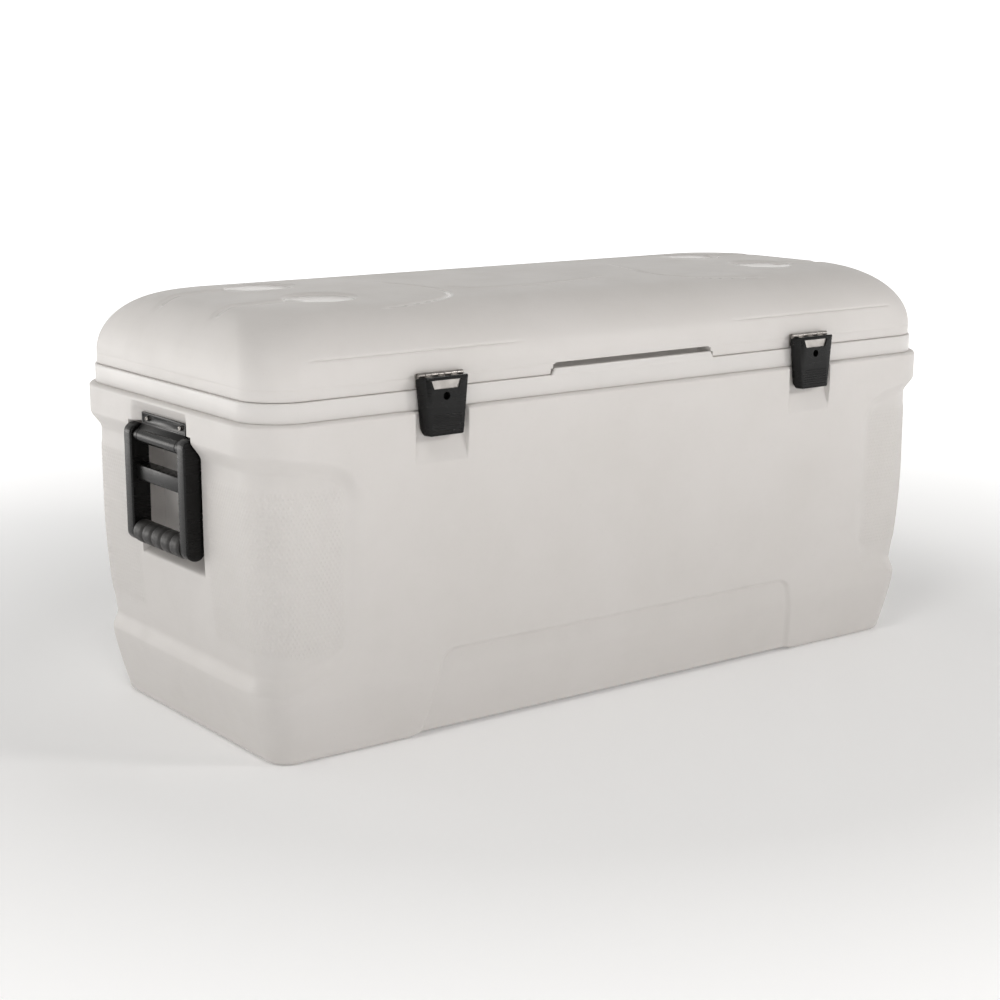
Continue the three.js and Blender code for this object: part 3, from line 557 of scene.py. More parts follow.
def run_along():
    """Distance of each station from the nearest corner's arc start, along the outline."""
    angle = np.arctan2(np.abs(SHELL.ny), np.abs(SHELL.nx))
    along_arc = CORNER * angle
    down_side = CORE_Y - np.abs(SY)
    down_front = CORNER * math.pi / 2 + CORE_X - np.abs(SX)
    on_arc = (np.abs(SHELL.nx) > 1e-6) & (np.abs(SHELL.ny) > 1e-6)
    return np.where(on_arc, along_arc, np.where(ENDS, -down_side, down_front))


RUN = run_along()


def panel(z):
    """How far the flush skin stands out from the plan at a height: belly, undercut and foot."""
    lean = mix(BULGE_OUT, BELT_OUT, ramp(z, BULGE_Z, BELT_LOW))
    lean = np.where(z >= BULGE_Z, lean, 0)
    drop = ramp(BULGE_Z - z, 0, BULGE_Z - FOOT) ** 1.2
    foot = FOOT - np.sqrt(FOOT**2 - np.maximum(0, FOOT - z) ** 2)
    return np.where(z >= BULGE_Z, lean, BULGE_OUT - 17.5 * drop - foot)


def recess_floor(z):
    """The sunken corner panel's floor, which curves in towards the bottom."""
    low = np.maximum(0, 253 - z) / 138
    return -0.3 - 9.7 * low**2


def recess_mask(z):
    """0 on the flush skin to 1 on the floor of the sunken corner panel, whose corners are rounded."""
    inwards = ramp(-np.abs(SX), -500, -402)
    high = 367 - 19 * inwards
    low = 87 + 31 * inwards
    side = np.abs(SX) - 401
    round_off = 42.0

    def inside(edge):
        return round_off - np.hypot(np.maximum(round_off - side, 0), np.maximum(round_off - edge, 0))

    depth = np.minimum(inside(high - z), inside(z - low))
    return mix(ramp(depth, 0, 21), smooth(depth, 0, 21), 0.6)


def arch_mask(z):
    """1 on the low raised-edge arch of the front and the back, 0 off it."""
    flare = 20 * ramp(-z, -95, 0)
    shoulder = 17 * ramp(z, 95, 111) ** 2
    half = 289 + flare - shoulder
    return BROAD * smooth(half - np.abs(SX), 0, 7) * smooth(-z, -112, -107)


def diamonds(z, recess):
    """Fine raised diamonds moulded into the sunken corner panels."""
    u, v = RUN / PITCH, z / ROW
    wave = np.abs(np.cos(math.pi * (u + v)) * np.cos(math.pi * (u - v)))
    clear = smooth(np.abs(SY), 86, 94) * smooth(np.abs(SX), 418, 428)
    clear = clear * smooth(z, 128, 140) * smooth(-z, -332, -322)
    return 1.15 * np.clip((wave - 0.15) / 0.85, 0, 1) * clear * smooth(recess, 0.9, 1.0)


def latch_seat(z, out):
    """The flat behind each latch, and the dip that lets a finger under the lever."""
    limit = -np.interp(z, [338, 372, 500], [-235.4, SEAT_Y, SEAT_Y]) - HALF_Y
    for x in (-LATCH_X, LATCH_X):
        mask = smooth(-np.abs(SX - x), -37.2, -35.4) * FRONT * ramp(z, 336, 338.5)
        out = np.where(mask > 0, mix(out, np.minimum(out, limit), mask), out)
    return out


def handle_well(z, out):
    """Pocket behind the bail, the scoop in the belt above it and the block the bracket sits on."""
    y = np.abs(SY)
    ends = ENDS.astype(float)
    scoop = np.interp(z, [340, 385, 398, 420], [BRACKET_SEAT, BRACKET_SEAT, BELT_OUT, 40])
    inside = ends * smooth(-y, -71, -60) * ramp(z, 366, 368)
    out = np.where(inside > 0, mix(out, np.minimum(out, scoop), inside), out)
    sides = smooth(POCKET_HALF - y, 0, 4.5)
    low = smooth(z, 205, 224)
    high = ramp(-z, -372.6, -371.2)
    depth = np.minimum(np.minimum(sides, low), high) * ends
    well = mix(out, POCKET_BACK, depth)
    boss = smooth(-y, -58.4, -57) * ramp(z, 361.6, 363.2) * ramp(-z, -374, -373) * ends
    return np.where(boss > 0, np.maximum(well, mix(POCKET_BACK, BRACKET_SEAT, boss)), well)


def drain_seat(z, out):
    """The round pit low on the right end that the drain sits in."""
    reach = np.sqrt(SY**2 + (z - DRAIN_Z) ** 2)
    mask = smooth(-reach, -25, -23.6) * ENDS * (SX > 0)
    return mix(out, -23.0, mask)


def belly(z):
    """Lifts the lowest levels between the end feet."""
    lift = 5.0 * smooth(-np.abs(SX), -317, -309) * smooth(np.abs(SHELL.ny), 0.9, 0.99)
    return np.maximum(z, lift)


def shell_level(z):
    """One ring of the shell, and how far each of its stations stands out."""
    z = np.full(SHELL.count, float(z))
    recess = recess_mask(z)
    flush = panel(z)
    out = mix(flush, np.minimum(flush, recess_floor(z)), recess)
    out = out - 4.0 * arch_mask(z) + diamonds(z, recess)
    out = handle_well(z, latch_seat(z, drain_seat(z, out)))
    return np.stack([SX + SHELL.nx * out, SY + SHELL.ny * out, belly(z)], 1), out


def shell_ring(z, out):
    out = np.broadcast_to(out, SX.shape)
    return np.stack([SX + SHELL.nx * out, SY + SHELL.ny * out, np.full(SX.shape, float(z))], 1)


def outer_shell():
    row = ROW / 6
    first = 70 * row
    heights = np.concatenate([
        spread((0, 1, 0.5), (1, 11, 1.7), (11, 40, 4.5)),
        spread((41, 92, 1.7), (92, first - row, 1.6)),
        first + row * np.arange(0, 145),
        spread((first + 145 * row, 360, 1.6), (360, 392, 1.3), (392, BELT_TOP - 1, 1.2)),
        [BELT_TOP, BELT_TOP + 0.8],
    ])
    heights = np.unique(np.round(heights, 4))
    rings, outs = zip(*(shell_level(z) for z in heights))
    under = []  # the underside, from a line along the middle out to the first ring
    for share in (0, 0.03, 0.34, 0.67):
        ring = rings[0].copy()
        ring[:, 1] *= share
        under.append(ring)
    edge = np.minimum(outs[-1], BELT_OUT)
    shoulder = [(0.8, 0.5), (2.0, 1.6), (2.7, 3.0), (SHELL_TOP - BELT_TOP - 0.8, 5.0)]
    neck = [(SHELL_TOP, 1.2), (SHELL_TOP + 0.6, 0.8), (NECK_TOP, 0.8), (NECK_TOP, -2.2),
            (SHELL_TOP - 3, -2.2)]
    top = [shell_ring(BELT_TOP + 0.8 + rise * 0.97, edge - inwards * 0.8) for rise, inwards in shoulder]
    top += [shell_ring(z, out) for z, out in neck]
    return weld(loft("shell", [*under, *rings, *top], start=False, end=False), 2e-6)


finish_part(outer_shell(), "outer_shell", 50)

# ---- inner liner ----

TUB_X, TUB_Y, TUB_CORNER, TUB_FLOOR = 484, 188, 28, 45
LINER = Plan(mirrored(spread((0, 1, 1 / 24))), mirrored(spread((0, 1, 1 / 10))), 14)


def tub(z, grow, shrink=0.0):
    """Ring of the tub's inside, which narrows downwards, made larger by grow."""
    draft = 10 * float(ramp(-z, -SEAM, -TUB_FLOOR)) + shrink - grow
    return LINER.level(TUB_X - draft, TUB_Y - draft, TUB_CORNER - draft * 0.4, z)


def plan(z, out):
    """Ring of the chest's outline, with as many stations as a tub ring."""
    return LINER.level(HALF_X + out, HALF_Y + out, CORNER + out, z)


def inner_liner():
    wall, fillet, lip = 3, 15, 403.55
    floor = [(TUB_FLOOR + fillet * (1 - math.sin(a)), fillet * (1 - math.cos(a)))
             for a in np.linspace(0, math.pi / 2, 7)]
    part = loft("liner", [
        tub(TUB_FLOOR - wall, wall, 12),
        tub(TUB_FLOOR + 4, wall, 1.5),
        tub(TUB_FLOOR + 10, wall),
        tub(SEAM - wall, wall),
        plan(SEAM - wall, 1.6),
        plan(lip, 1.6),
        plan(lip, 3.9),
        plan(403.8, 4.3),
        plan(404.3, 4.5),
        plan(SEAM - 1.6, 4.5),
        plan(SEAM - 0.8, 4.3),
        plan(SEAM - 0.2, 3.7),
        plan(SEAM, 2.9),
        tub(SEAM, 4.0),
        tub(SEAM - 0.5, 2.0),
        tub(SEAM - 1.8, 0.6),
        tub(SEAM - 4, 0.0),
        *[tub(z, 0, inset) for z, inset in floor],
    ])
    outward(part)
    half = NOTCH_HALF - 2
    slant = NOTCH_SLANT * 10 / NOTCH_RISE
    low, top = SEAM - 2, SEAM + 8
    front = -(HALF_Y + 4.5)
    tab = prism("y", [[-half, low], [half, low], [half - slant, top], [slant - half, top]], front, front + 5)
    bevel(tab, 1.2, 3)
    cut(part, rod("x", 11.6, 460, 500, 0, DRAIN_Z))
    return join(part, tab)


finish_part(inner_liner(), "inner_liner", 40)

# ---- lid ----

LID_X, LID_Y = HALF_X + 1.5, HALF_Y + 1.5
GRID_INSET = 30.0
LID_EDGE, LID_TOP = 441, 522.7
DOME = 86  # how far in from the edge the lid is still turning over
CUP_X, CUP_Y, CUP_FLOOR = 358, 71.5, 518.2
GROOVE = 6.6  # inset of the fine line above the lid's front edge


def lid_height(inset):
    s = 1 - np.minimum(inset, DOME) / DOME
    crown = 1 - (1 - np.minimum(1, inset / HALF_Y)) ** 1.6
    return np.minimum(LID_EDGE + 73 * np.sqrt(1 - s * s) + 9 * crown, LID_TOP)


def tighter(inset):
    """The ends turn over in a shorter run than the front and the back."""
    return 26 * ramp(inset, 0, DOME)


def lid_inset(x, y):
    """How far in from the lid's edge a point is, along the family of rounded outlines."""
    x, y = np.broadcast_arrays(np.abs(x), np.abs(y))
    low, high = np.zeros(x.shape), np.full(x.shape, LID_Y - 2.0)
    for _ in range(24):
        middle = (low + high) / 2
        radius = CORNER + 0.35 * middle
        a = x - (LID_X - middle + tighter(middle) - radius)
        b = y - (LID_Y - middle - radius)
        corner = (a > 0) & (b > 0)
        beyond = np.where(corner, np.hypot(a, b) - radius, np.maximum(a, b) - radius)
        low = np.where(beyond < 0, middle, low)
        high = np.where(beyond < 0, high, middle)
    return (low + high) / 2


def near_path(x, y, path):
    """Distance from points to a path of close places, and how far along it, 0 to 1."""
    best = np.full(np.shape(x), 1e9)
    where = np.zeros(np.shape(x))
    for k in range(len(path) - 1):
        a, d = path[k], path[k + 1] - path[k]
        t = np.clip(((x - a[0]) * d[0] + (y - a[1]) * d[1]) / (d @ d), 0, 1)
        reach = np.hypot(x - a[0] - t * d[0], y - a[1] - t * d[1])
        where = np.where(reach < best, (k + t) / (len(path) - 1), where)
        best = np.minimum(best, reach)
    return best, where


def curve(points):
    """Close places on a smooth curve through the given ones."""
    p = np.asarray(points, float)
    p = np.concatenate([[2 * p[0] - p[1]], p, [2 * p[-1] - p[-2]]])
    out = []
    for a, b, c, d in zip(p, p[1:], p[2:], p[3:]):
        for t in np.linspace(0, 1, 14, endpoint=False):
            out.append(0.5 * (2 * b + (c - a) * t + (2 * a - 5 * b + 4 * c - d) * t**2
                              + (3 * b - a - 3 * c + d) * t**3))
    return np.array(out + [p[-2]])


CHANNEL = curve([(396, CUP_Y), (436, 74), (474, 68), (508, 70)])
SWEEP = curve([(176, 46), (153, -30), (144, -88), (159, -128), (188, -147), (232, -158), (284, -165)])
SWEEP_APART = 50  # how much farther from the middle the left sweep is than the right one
ARC = curve([(-178, -67), (-150, -89), (-110, -99), (-60, -100), (-10, -95), (40, -87), (76, -74)])


def channel(reach, along):
    """Drain channel from a cup over the end: broad at the cup and narrow at its tip."""
    half = mix(15.0, 9.0, along)
    return smooth(-reach / half, -1.0, -0.35) * smooth(-along, -1.0, -0.8)


def line_mark(x, y, path, half):
    """A shallow line along a path, tapered at both ends."""
    reach, along = near_path(x, y, path)
    taper = half * (0.25 + 0.75 * np.clip(np.sin(math.pi * along), 0, 1) ** 0.5)
    ends = smooth(along, 0.0, 0.04) * smooth(-along, -1.0, -0.96)
    return smooth(-reach / taper, -1.0, -0.3) * ends


def lid_marks(x, y):
    """The smooth sunken marks on top of the lid: cups, channels, sweeps and the middle arc."""
    cups = smooth(-np.hypot(np.abs(x) - CUP_X, np.abs(y) - CUP_Y), -45.5, -41)
    channels = channel(*near_path(np.abs(x), np.abs(y), CHANNEL))
    sweeps = line_mark(np.where(x < 0, -x - SWEEP_APART, x), y, SWEEP, 5.5)
    return cups, channels, np.maximum(sweeps, line_mark(x, y, ARC, 6.5))


def lid_top(x, y):
    z = lid_height(lid_inset(x, y))
    cups, channels, lines = lid_marks(x, y)
    z = mix(z, np.minimum(z, CUP_FLOOR), cups)
    return z - 3.2 * channels - 1.6 * lines


def lid_outer():
    # Columns are close together where the marks on the top begin and end.
    fine, medium = 0.0022, 0.0075
    u = mirrored(spread((0, 0.24, 0.0085), (0.24, 0.30, fine), (0.30, 0.35, medium),
                        (0.35, 0.42, fine), (0.42, 0.61, medium), (0.61, 0.83, 0.0044),
                        (0.83, 1.0, 0.0062)))
    v = mirrored(spread((0, 0.18, 0.02), (0.18, 0.90, 0.0165), (0.90, 1.0, 0.02)))
    stations = Plan(u, v, 26)
    front = stations.ny < -0.999

    def ring(inset, z, notch=False):
        x, y = stations.points(LID_X - inset + tighter(inset), LID_Y - inset, CORNER + 0.35 * inset)
        if notch:
            half = NOTCH_HALF - NOTCH_SLANT * (z - NOTCH_LOW) / NOTCH_RISE
            y = y + 20 * smooth(-np.abs(x), -half - 0.9, -half + 0.6) * front
        groove = ramp(-abs(inset - GROOVE), -0.55, 0)
        groove = groove * ramp(np.abs(x), 157, 210) * ramp(-np.abs(x), -462, -456)
        y = y + 0.9 * groove * front
        return np.stack([x, y, np.full(x.shape, float(z))], 1)

    skirt = [(3, 430), (3, 426.8), (1.7, 426.8), (0.9, 427.0), (0.3, 427.6), (0, 428.5), (0, 434),
             (0, 439.2), (0.3, 440.4)]
    insets = [0.03, 0.1, 0.25, 0.5, 0.9, 1.5, 2.4, 3.7, 5.2, 6.0, 6.35, GROOVE, 6.85, 7.2, 8.2, 10.3,
              13.5, 17.2, 21.2, 25.5, GRID_INSET]
    rings = [ring(inset, z, notch=True) for inset, z in skirt]
    rings += [ring(0, LID_EDGE - 0.1), ring(0, LID_EDGE)]
    rings += [ring(inset, lid_height(inset)) for inset in insets]
    edge = rings[-1]
    edge[:, 2] = lid_top(edge[:, 0], edge[:, 1])
    points = np.concatenate(rings)
    faces = ring_faces(len(rings), stations.count)

    # The top is a grid of rows whose ends are the last ring's side stations.
    across = len(u)
    inner_rows = 2 * len(stations.quarter) + len(v)
    last = len(points) - stations.count
    right = last + across + np.arange(inner_rows)
    back = last + across + inner_rows + np.arange(across)[::-1]
    left = last + 2 * across + inner_rows + np.arange(inner_rows)[::-1]
    rows, grid = [last + np.arange(across)], []
    free = len(points)
    for start, end in zip(left, right):
        x = mix(points[start, 0], points[end, 0], (u[1:-1] + 1) / 2)
        y = np.full(x.shape, points[start, 1])
        grid.append(np.stack([x, y, lid_top(x, y)], 1))
        rows.append([start, *range(free, free + across - 2), end])
        free += across - 2
    rows = np.array([*rows, back])
    quads = np.stack([rows[:-1, :-1], rows[:-1, 1:], rows[1:, 1:], rows[1:, :-1]], -1)
    faces += quads.reshape(-1, 4).tolist()
    part = weld(mesh_from("lid", np.concatenate([points, *grid]), faces), 2e-6)
    places = np.array([v.co for v in part.data.vertices]) / MM
    # These values make the shell finish smoother on the marks and also paler there, a painted highlight.
    marks = np.max(lid_marks(places[:, 0], places[:, 1]), axis=0) * (places[:, 2] > 480)
    part.data.attributes.new("polish_and_highlight", "FLOAT", "POINT").data.foreach_set("value", marks)
    return part


finish_part(lid_outer(), "lid_outer", 50)


def lid_inner():
    low, sheet = SEAM - 19, 2.5
    under = SEAM + 0.5
    flange = -(3 + GAP + 0.5)
    part = loft("lid_liner", [
        tub(low, -12),
        tub(low + 0.6, -8.5),
        tub(low + 2.5, -6.8),
        tub(low + 5, -6),
        tub(SEAM - 2, -6),
        tub(SEAM, -5.6),
        tub(under, -4.5),
        plan(under, flange),
        plan(under + sheet, flange),
        tub(under + sheet, -6 - sheet),
        tub(low + 4 + sheet, -6 - sheet),
        tub(low + sheet, -10 - sheet),
    ])
    outward(part)
    wide = NOTCH_HALF + 3.3
    notch = [[-wide, 422], [wide, 422], [wide - 11, 444], [11 - wide, 444]]
    return cut(part, prism("y", notch, -240, -200.7))


finish_part(lid_inner(), "lid_inner", 40)

# ---- screws ----

SCREW_HEAD, SCREW_BORE = 1.8, 2.3

def screw_shape(r):
    """Pan head of radius r with a cross recess, its seat at 0 and its axis along +Z."""
    profile = [(0, -9), (1.0, -8.6), (1.9, -7.5), (1.9, 0), (r - 0.1, 0), (r, 0.25), (r - 0.25, 0.9),
               (r - 0.9, 1.45), (r * 0.5, 1.75), (0, SCREW_HEAD)]
    arm, half = r * 0.52, 0.45
    head = lathe("screw", profile, "z", 0, 0, 32)
    return cut(head, block(-arm, arm, -half, half, 0.7, 3), block(-half, half, -arm, arm, 0.7, 3))


SCREW_SHAPES = {radius: screw_shape(radius) for radius in (3.0, 4.0)}


def hash_angle(node):
    """Every cross recess stops at its own angle."""
    return (sum(ord(c) * (i + 3) for i, c in enumerate(node)) % 90) * math.pi / 180


def place_screw(node, direction, radius=4.0):
    """Puts a screw with its head's top at the CAD screw's end in the given direction."""
    low, high = (Vector(c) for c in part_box(node))
    direction = Vector(direction)
    reach = (high - low) / 2
    top = (low + high) / 2 + Vector(d * r for d, r in zip(direction, reach))
    seat = top - direction * SCREW_HEAD * MM
    spin = Matrix.Rotation(hash_angle(node), 4, "Z")
    turn = direction.to_track_quat("Z", "Y").to_matrix().to_4x4()
    part = copy_of(SCREW_SHAPES[radius])
    part.data.transform(Matrix.Translation(seat) @ turn @ spin)
    finish_part(part, node, 40)


for side in ("left", "right"):
    outwards = (-1, 0, 0) if side == "left" else (1, 0, 0)
    for end in "ab":
        place_screw(f"latch_plate_screw_{side}_{end}", (0, -1, 0))
        place_screw(f"keeper_screw_{side}_{end}", (0, -1, 0))
        place_screw(f"handle_screw_{side}_{end}", outwards, 3.0)
        place_screw(f"hinge_body_screw_{side}_{end}", (0, 1, 0))
        place_screw(f"hinge_lid_screw_{side}_{end}", (0, 1, 0))
for shape in SCREW_SHAPES.values():
    bpy.data.objects.remove(shape)

# ---- latch ----

LEVER_FRONT, LEVER_BACK = -245.3, -232.5
LATCH_BARREL = {"radius": 3.2, "half": 31.15, "count": 7, "bore": 1.85}


def rounded_polygon(corners, radii):
    """Closed outline with its corners rounded, from corner points and a radius for each."""
    steps = 6
    points = []
    corners = [Vector(c) for c in corners]
    for i, corner in enumerate(corners):
        before = (corners[i - 1] - corner).normalized()
        after = (corners[(i + 1) % len(corners)] - corner).normalized()
        radius = radii[i]
        half = before.angle(after) / 2
        reach = radius / math.tan(half)
        centre = corner + (before + after).normalized() * (radius / math.sin(half))
        start, end = corner + before * reach - centre, corner + after * reach - centre
        swing = start.angle_signed(end)
        for k in range(steps + 1):
            spin = Matrix.Rotation(-swing * k / steps, 2)
            point = centre + spin @ start
            points.append((point.x, point.y))
    return np.array(points)


def lever_ring(y, top_half, low_half, top, low, corner):
    """The lever's outline at a depth: a shield, wider at the top."""
    outline = rounded_polygon(
        [(-low_half, low), (low_half, low), (top_half, top), (-top_half, top)],
        [corner, corner, 1.6, 1.6],
    )
    return np.stack([outline[:, 0], np.full(len(outline), float(y)), outline[:, 1]], 1)


def latch_lever():
    """Hollow lever with a steel window, a lock hole, finger ribs and the hook for the leaf."""
    f, b = LEVER_FRONT, LEVER_BACK
    inside = f + 1.5
    before = -250
    part = loft("lever", [
        lever_ring(f, 29.4, 22.9, 441.9, 374.6, 2.4),
        lever_ring(f + 0.25, 29.9, 23.4, 442.3, 374.15, 2.8),
        lever_ring(f + 0.9, 30.3, 23.8, 442.5, 374.0, 3.0),
        lever_ring(f + 8.0, 34.4, 28.0, 441.2, 374.0, 5.0),
        lever_ring(f + 9.0, 34.7, 28.3, 441.0, 374.3, 5.6),
        lever_ring(f + 9.9, 34.8, 28.5, 440.8, 375.0, 6.0),
        lever_ring(b - 0.5, 34.8, 28.5, 440.0, 377.6, 6.4),
        lever_ring(b, 34.3, 28.1, 439.8, 378.2, 6.6),
        lever_ring(b, 32.0, 25.7, 439.4, 380.0, 5.0),
        lever_ring(f + 9, 32.0, 25.3, 439.8, 377.5, 3.6),
        lever_ring(inside, 27.0, 21.0, 440.6, 377.0, 2.0),
    ])
    outward(part)
    cutters = [
        block(-32, 32, f + 5.5, b + 5, 432, 450),
        prism("y", [[-17, 427.8], [17, 427.8], [20.8, 438], [-20.8, 438]], before, inside + 1),
        rod("y", LOCK_BORE, before, inside + 1, 0, LOCK_Z),
    ]
    cutters += [rod("x", 0.8, -20.0, 20.0, f - 0.35, z, 12) for z in np.arange(379.5, 399, 3.1)]
    cut(part, *cutters)
    hook = prism("x", [[inside - 0.5, 382], [-233.8, 386.5], [-233.8, 388.2], [inside - 0.5, 388.2]], -13, 13)
    cut(hook, block(-24, 24, inside + 0.1, inside + 2.1, 384, 441))
    bevel(hook, 0.4, 2)
    web = block(-13, 13, f + 3.6, f + 7.6, 376, 385)
    rim, cup, cup_floor = LOCK_BORE + 0.6, -236.5, -237.3
    profile = [(LOCK_BORE, inside), (rim, inside), (rim, cup), (0, cup), (0, cup_floor),
               (LOCK_BORE, cup_floor)]
    return join(part, hook, web, lathe("lock", profile, "y", 0, LOCK_Z, 32))


def barrels(axis_y, axis_z, first, radius, half, count, bore):
    """Every other knuckle of a hinge along X, from the first one on: (part, start, end) each."""
    pitch, blunt = 2 * half / count, 0.25
    parts = []
    for i in range(first, count, 2):
        start = -half + i * pitch + (GAP / 2 if i else 0)
        end = -half + (i + 1) * pitch - (GAP / 2 if i < count - 1 else 0)
        profile = [(bore, start), (radius - blunt, start), (radius, start + blunt),
                   (radius, end - blunt), (radius - blunt, end), (bore, end)]
        parts.append((lathe("barrel", profile, "x", axis_y, axis_z, 32), start, end))
    return parts


def knuckles(axis_y, axis_z, first, strap, **barrel):
    """Hinge knuckles, each with the strap ([y, z] points) that ties it to its leaf."""
    extra = []
    for part, start, end in barrels(axis_y, axis_z, first, **barrel):
        extra += [part, prism("x", strap, start, end)]
    return extra


def screw_holes(centres, z, start, end):
    return [rod("y", SCREW_BORE, start, end, x, z, 24) for x in centres]


def latch_plate():
    back = -LID_Y - 0.6
    front = back - 1.4
    part = block(-31.1, 31.1, front, back, 429.5, 441.2)
    cut(part, *screw_holes((-15, 15), 434, front - 1, back + 1))
    bevel(part, 0.3)
    strap = [[back, 440], [back, 444.6], [PIVOT_Y, 446.2], [PIVOT_Y, 444.9], [front, 442.6],
             [front, 440]]
    return join(part, *knuckles(PIVOT_Y, PIVOT_Z, 0, strap, **LATCH_BARREL))


def latch_leaf():
    """The steel strap inside the lever."""
    front = LEVER_FRONT + 1.8
    back = front + 1.4
    outline = rounded_polygon([(-18.5, 385), (18.5, 385), (23, 439.6), (-23, 439.6)], [2, 2, 0.8, 0.8])
    part = prism("y", outline, front, back)
    cut(part, rod("y", LOCK_BORE + 0.9, front - 1, back + 1, 0, LOCK_Z))
    bevel(part, 0.2, 1)
    strap = [[PIVOT_Y - 2, 444.5], [PIVOT_Y - 2, 440.3], [back, 438.2], [front + 0.2, 438.2],
             [front + 0.2, 439.6], [PIVOT_Y - 3.0, 441.8]]
    return join(part, *knuckles(PIVOT_Y, PIVOT_Z, 1, strap, **LATCH_BARREL))


def latch_keeper():
    """The lip on the shell that the leaf's hook snaps over."""
    seat = SEAT_Y - GAP
    profile = [[seat, 388.9], [seat, 402], [seat - 1.6, 402], [seat - 1.6, 393.2], [seat - 4.5, 392.8],
               [seat - 5.6, 391.9], [seat - 5.9, 391], [seat - 5.9, 389.8], [seat - 5, 388.9]]
    part = prism("x", profile, -17, 17)
    cut(part, *screw_holes((-12, 12), 397.6, -236, -226))
    return bevel(part, 0.35)


for side, label in ((-1, "left"), (1, "right")):
    for build, node, angle in (
        (latch_lever, "latch_lever_", 32),
        (latch_plate, "latch_hinge_plate_", 35),
        (latch_leaf, "latch_leaf_", 35),
        (latch_keeper, "latch_keeper_", 35),
    ):
        finish_part(shift(build(), side * LATCH_X), node + label, angle)
    pin = rod("x", 1.5, -31, 31, PIVOT_Y, PIVOT_Z, 24, 0.3)
    finish_part(shift(pin, side * LATCH_X), "latch_pin_" + label)

# ---- handle, built for the left end ----


def stadium(x0, x1, z0, z1):
    """[x, z] outline with round ends."""
    radius, cx = (x1 - x0) / 2, (x0 + x1) / 2
    points = []
    for cz, start in ((z0 + radius, math.pi), (z1 - radius, 0)):
        for a in np.linspace(start, start + math.pi, 21):
            points.append((cx + radius * math.cos(a), cz + radius * math.sin(a)))
    return points


def bail():
    """Two arms, the flat crossbar between them and the core that the grip sits on."""
    profile = stadium(-545.4, -520.5, 225.5, 370)
    inner, outer = 59.3, 77.3
    part, other = (bevel(prism("y", profile, start, end), 2.2, 4, 60)
                   for start, end in ((-outer, -inner), (inner, outer)))
    bar = bevel(block(-538, -519.5, -60.5, 60.5, 302, 321), 2.0, 4)
    core = rod("y", 8, -60.5, 60.5, HANDLE_X, GRIP_Z)
    add(part, other, bar, core)
    for start, end in ((-72.5, -58), (58, 72.5)):
        cut(part, rod("y", 3.4, start, end, HANDLE_X, HANDLE_Z, 32))
    return part


def grip():
    """Sleeve with rounded ribs."""
    half, ribs = 58.7, 5
    profile = [(8.5, -half)]
    for i in range(ribs):
        start = -half + 2 * half * i / ribs
        end = -half + 2 * half * (i + 1) / ribs
        for t in np.linspace(0, 1, 11):
            swell = 14.0 - 1.9 * abs(2 * t - 1) ** 5
            profile.append((swell, mix(start + 0.35, end - 0.35, t)))
    profile.append((8.5, half))
    return lathe("grip", profile, "y", HANDLE_X, GRIP_Z, 48)


def bracket():
    """Sunken plate with two screws, and the barrel that the bail swings on."""
    back = -HALF_X - BRACKET_SEAT - 0.6
    plate = back - 3
    profile = [[back, 384], [plate, 384], [plate, 370], [HANDLE_X - 4, 363.5], [HANDLE_X - 2, 352.5],
               [HANDLE_X + 4, 351.5], [back, 364.5]]
    part = prism("y", profile, -56, 56)
    holes = [rod("x", SCREW_BORE, plate - 1, back + 1, y, 377, 24) for y in (-42, 42)]
    tray = block(plate - 1, plate + 0.8, -53.5, 53.5, 371.5, 382.3)
    cut(part, tray, *holes)
    bevel(part, 0.5, 2)
    half = [(8.5, 47.8), (7.6, 48.2), (7.6, 49.2), (8.5, 49.6), (8.5, 56.2), (7.7, 57), (3.35, 57)]
    rings = [(radius, -y) for radius, y in half[::-1]] + half
    return join(part, lathe("barrel", rings, "y", HANDLE_X, HANDLE_Z, 48))


for side, label in ((-1, "left"), (1, "right")):
    for build, node, angle in (
        (bail, "handle_bail_", 40),
        (grip, "handle_grip_", 50),
        (bracket, "handle_bracket_", 35),
    ):
        part = build()
        finish_part(half_turn(part) if side > 0 else part, node + label, angle)
    pin = rod("y", 3.0, -72, 72, HANDLE_X, HANDLE_Z, 32, 0.4)
    finish_part(half_turn(pin) if side > 0 else pin, "handle_pin_" + label)

# ---- rear hinges ----

HINGE_BARREL = {"radius": 4.5, "half": 45, "count": 5, "bore": 2.35}

def hinge_leaf(up):
    """The lid's leaf (up is 1) or the tub's leaf (up is -1)."""
    face = HALF_Y + (2.0 if up > 0 else 4.9)
    near, far = SEAM + up * 5, SEAM + up * 21
    low, high = min(near, far), max(near, far)
    radii = [0.3, 0.3, 3, 3][::up]
    outline = rounded_polygon([(-45, low), (45, low), (45, high), (-45, high)], radii)
    part = prism("y", outline, face, face + 1.8)
    screw_z = 440 if up > 0 else 412.5
    cut(part, *screw_holes((-30, 30), screw_z, face - 1, face + 4))
    bevel(part, 0.3)
    strap = [[face, near], [face, near + up * 2], [HINGE_Y, SEAM + up * 4.5],
             [HINGE_Y, SEAM + up * 2.6], [HINGE_Y - 4, SEAM + up * 2]]
    return join(part, *knuckles(HINGE_Y, SEAM, 1 if up > 0 else 0, strap, **HINGE_BARREL))


for side, label in ((-1, "left"), (1, "right")):
    finish_part(shift(hinge_leaf(1), side * LATCH_X), "hinge_lid_leaf_" + label)
    finish_part(shift(hinge_leaf(-1), side * LATCH_X), "hinge_body_leaf_" + label)
    pin = rod("x", 2.0, -45, 45, HINGE_Y, SEAM, 24, 0.4)
    finish_part(shift(pin, side * LATCH_X), "hinge_pin_" + label)

# ---- drain ----


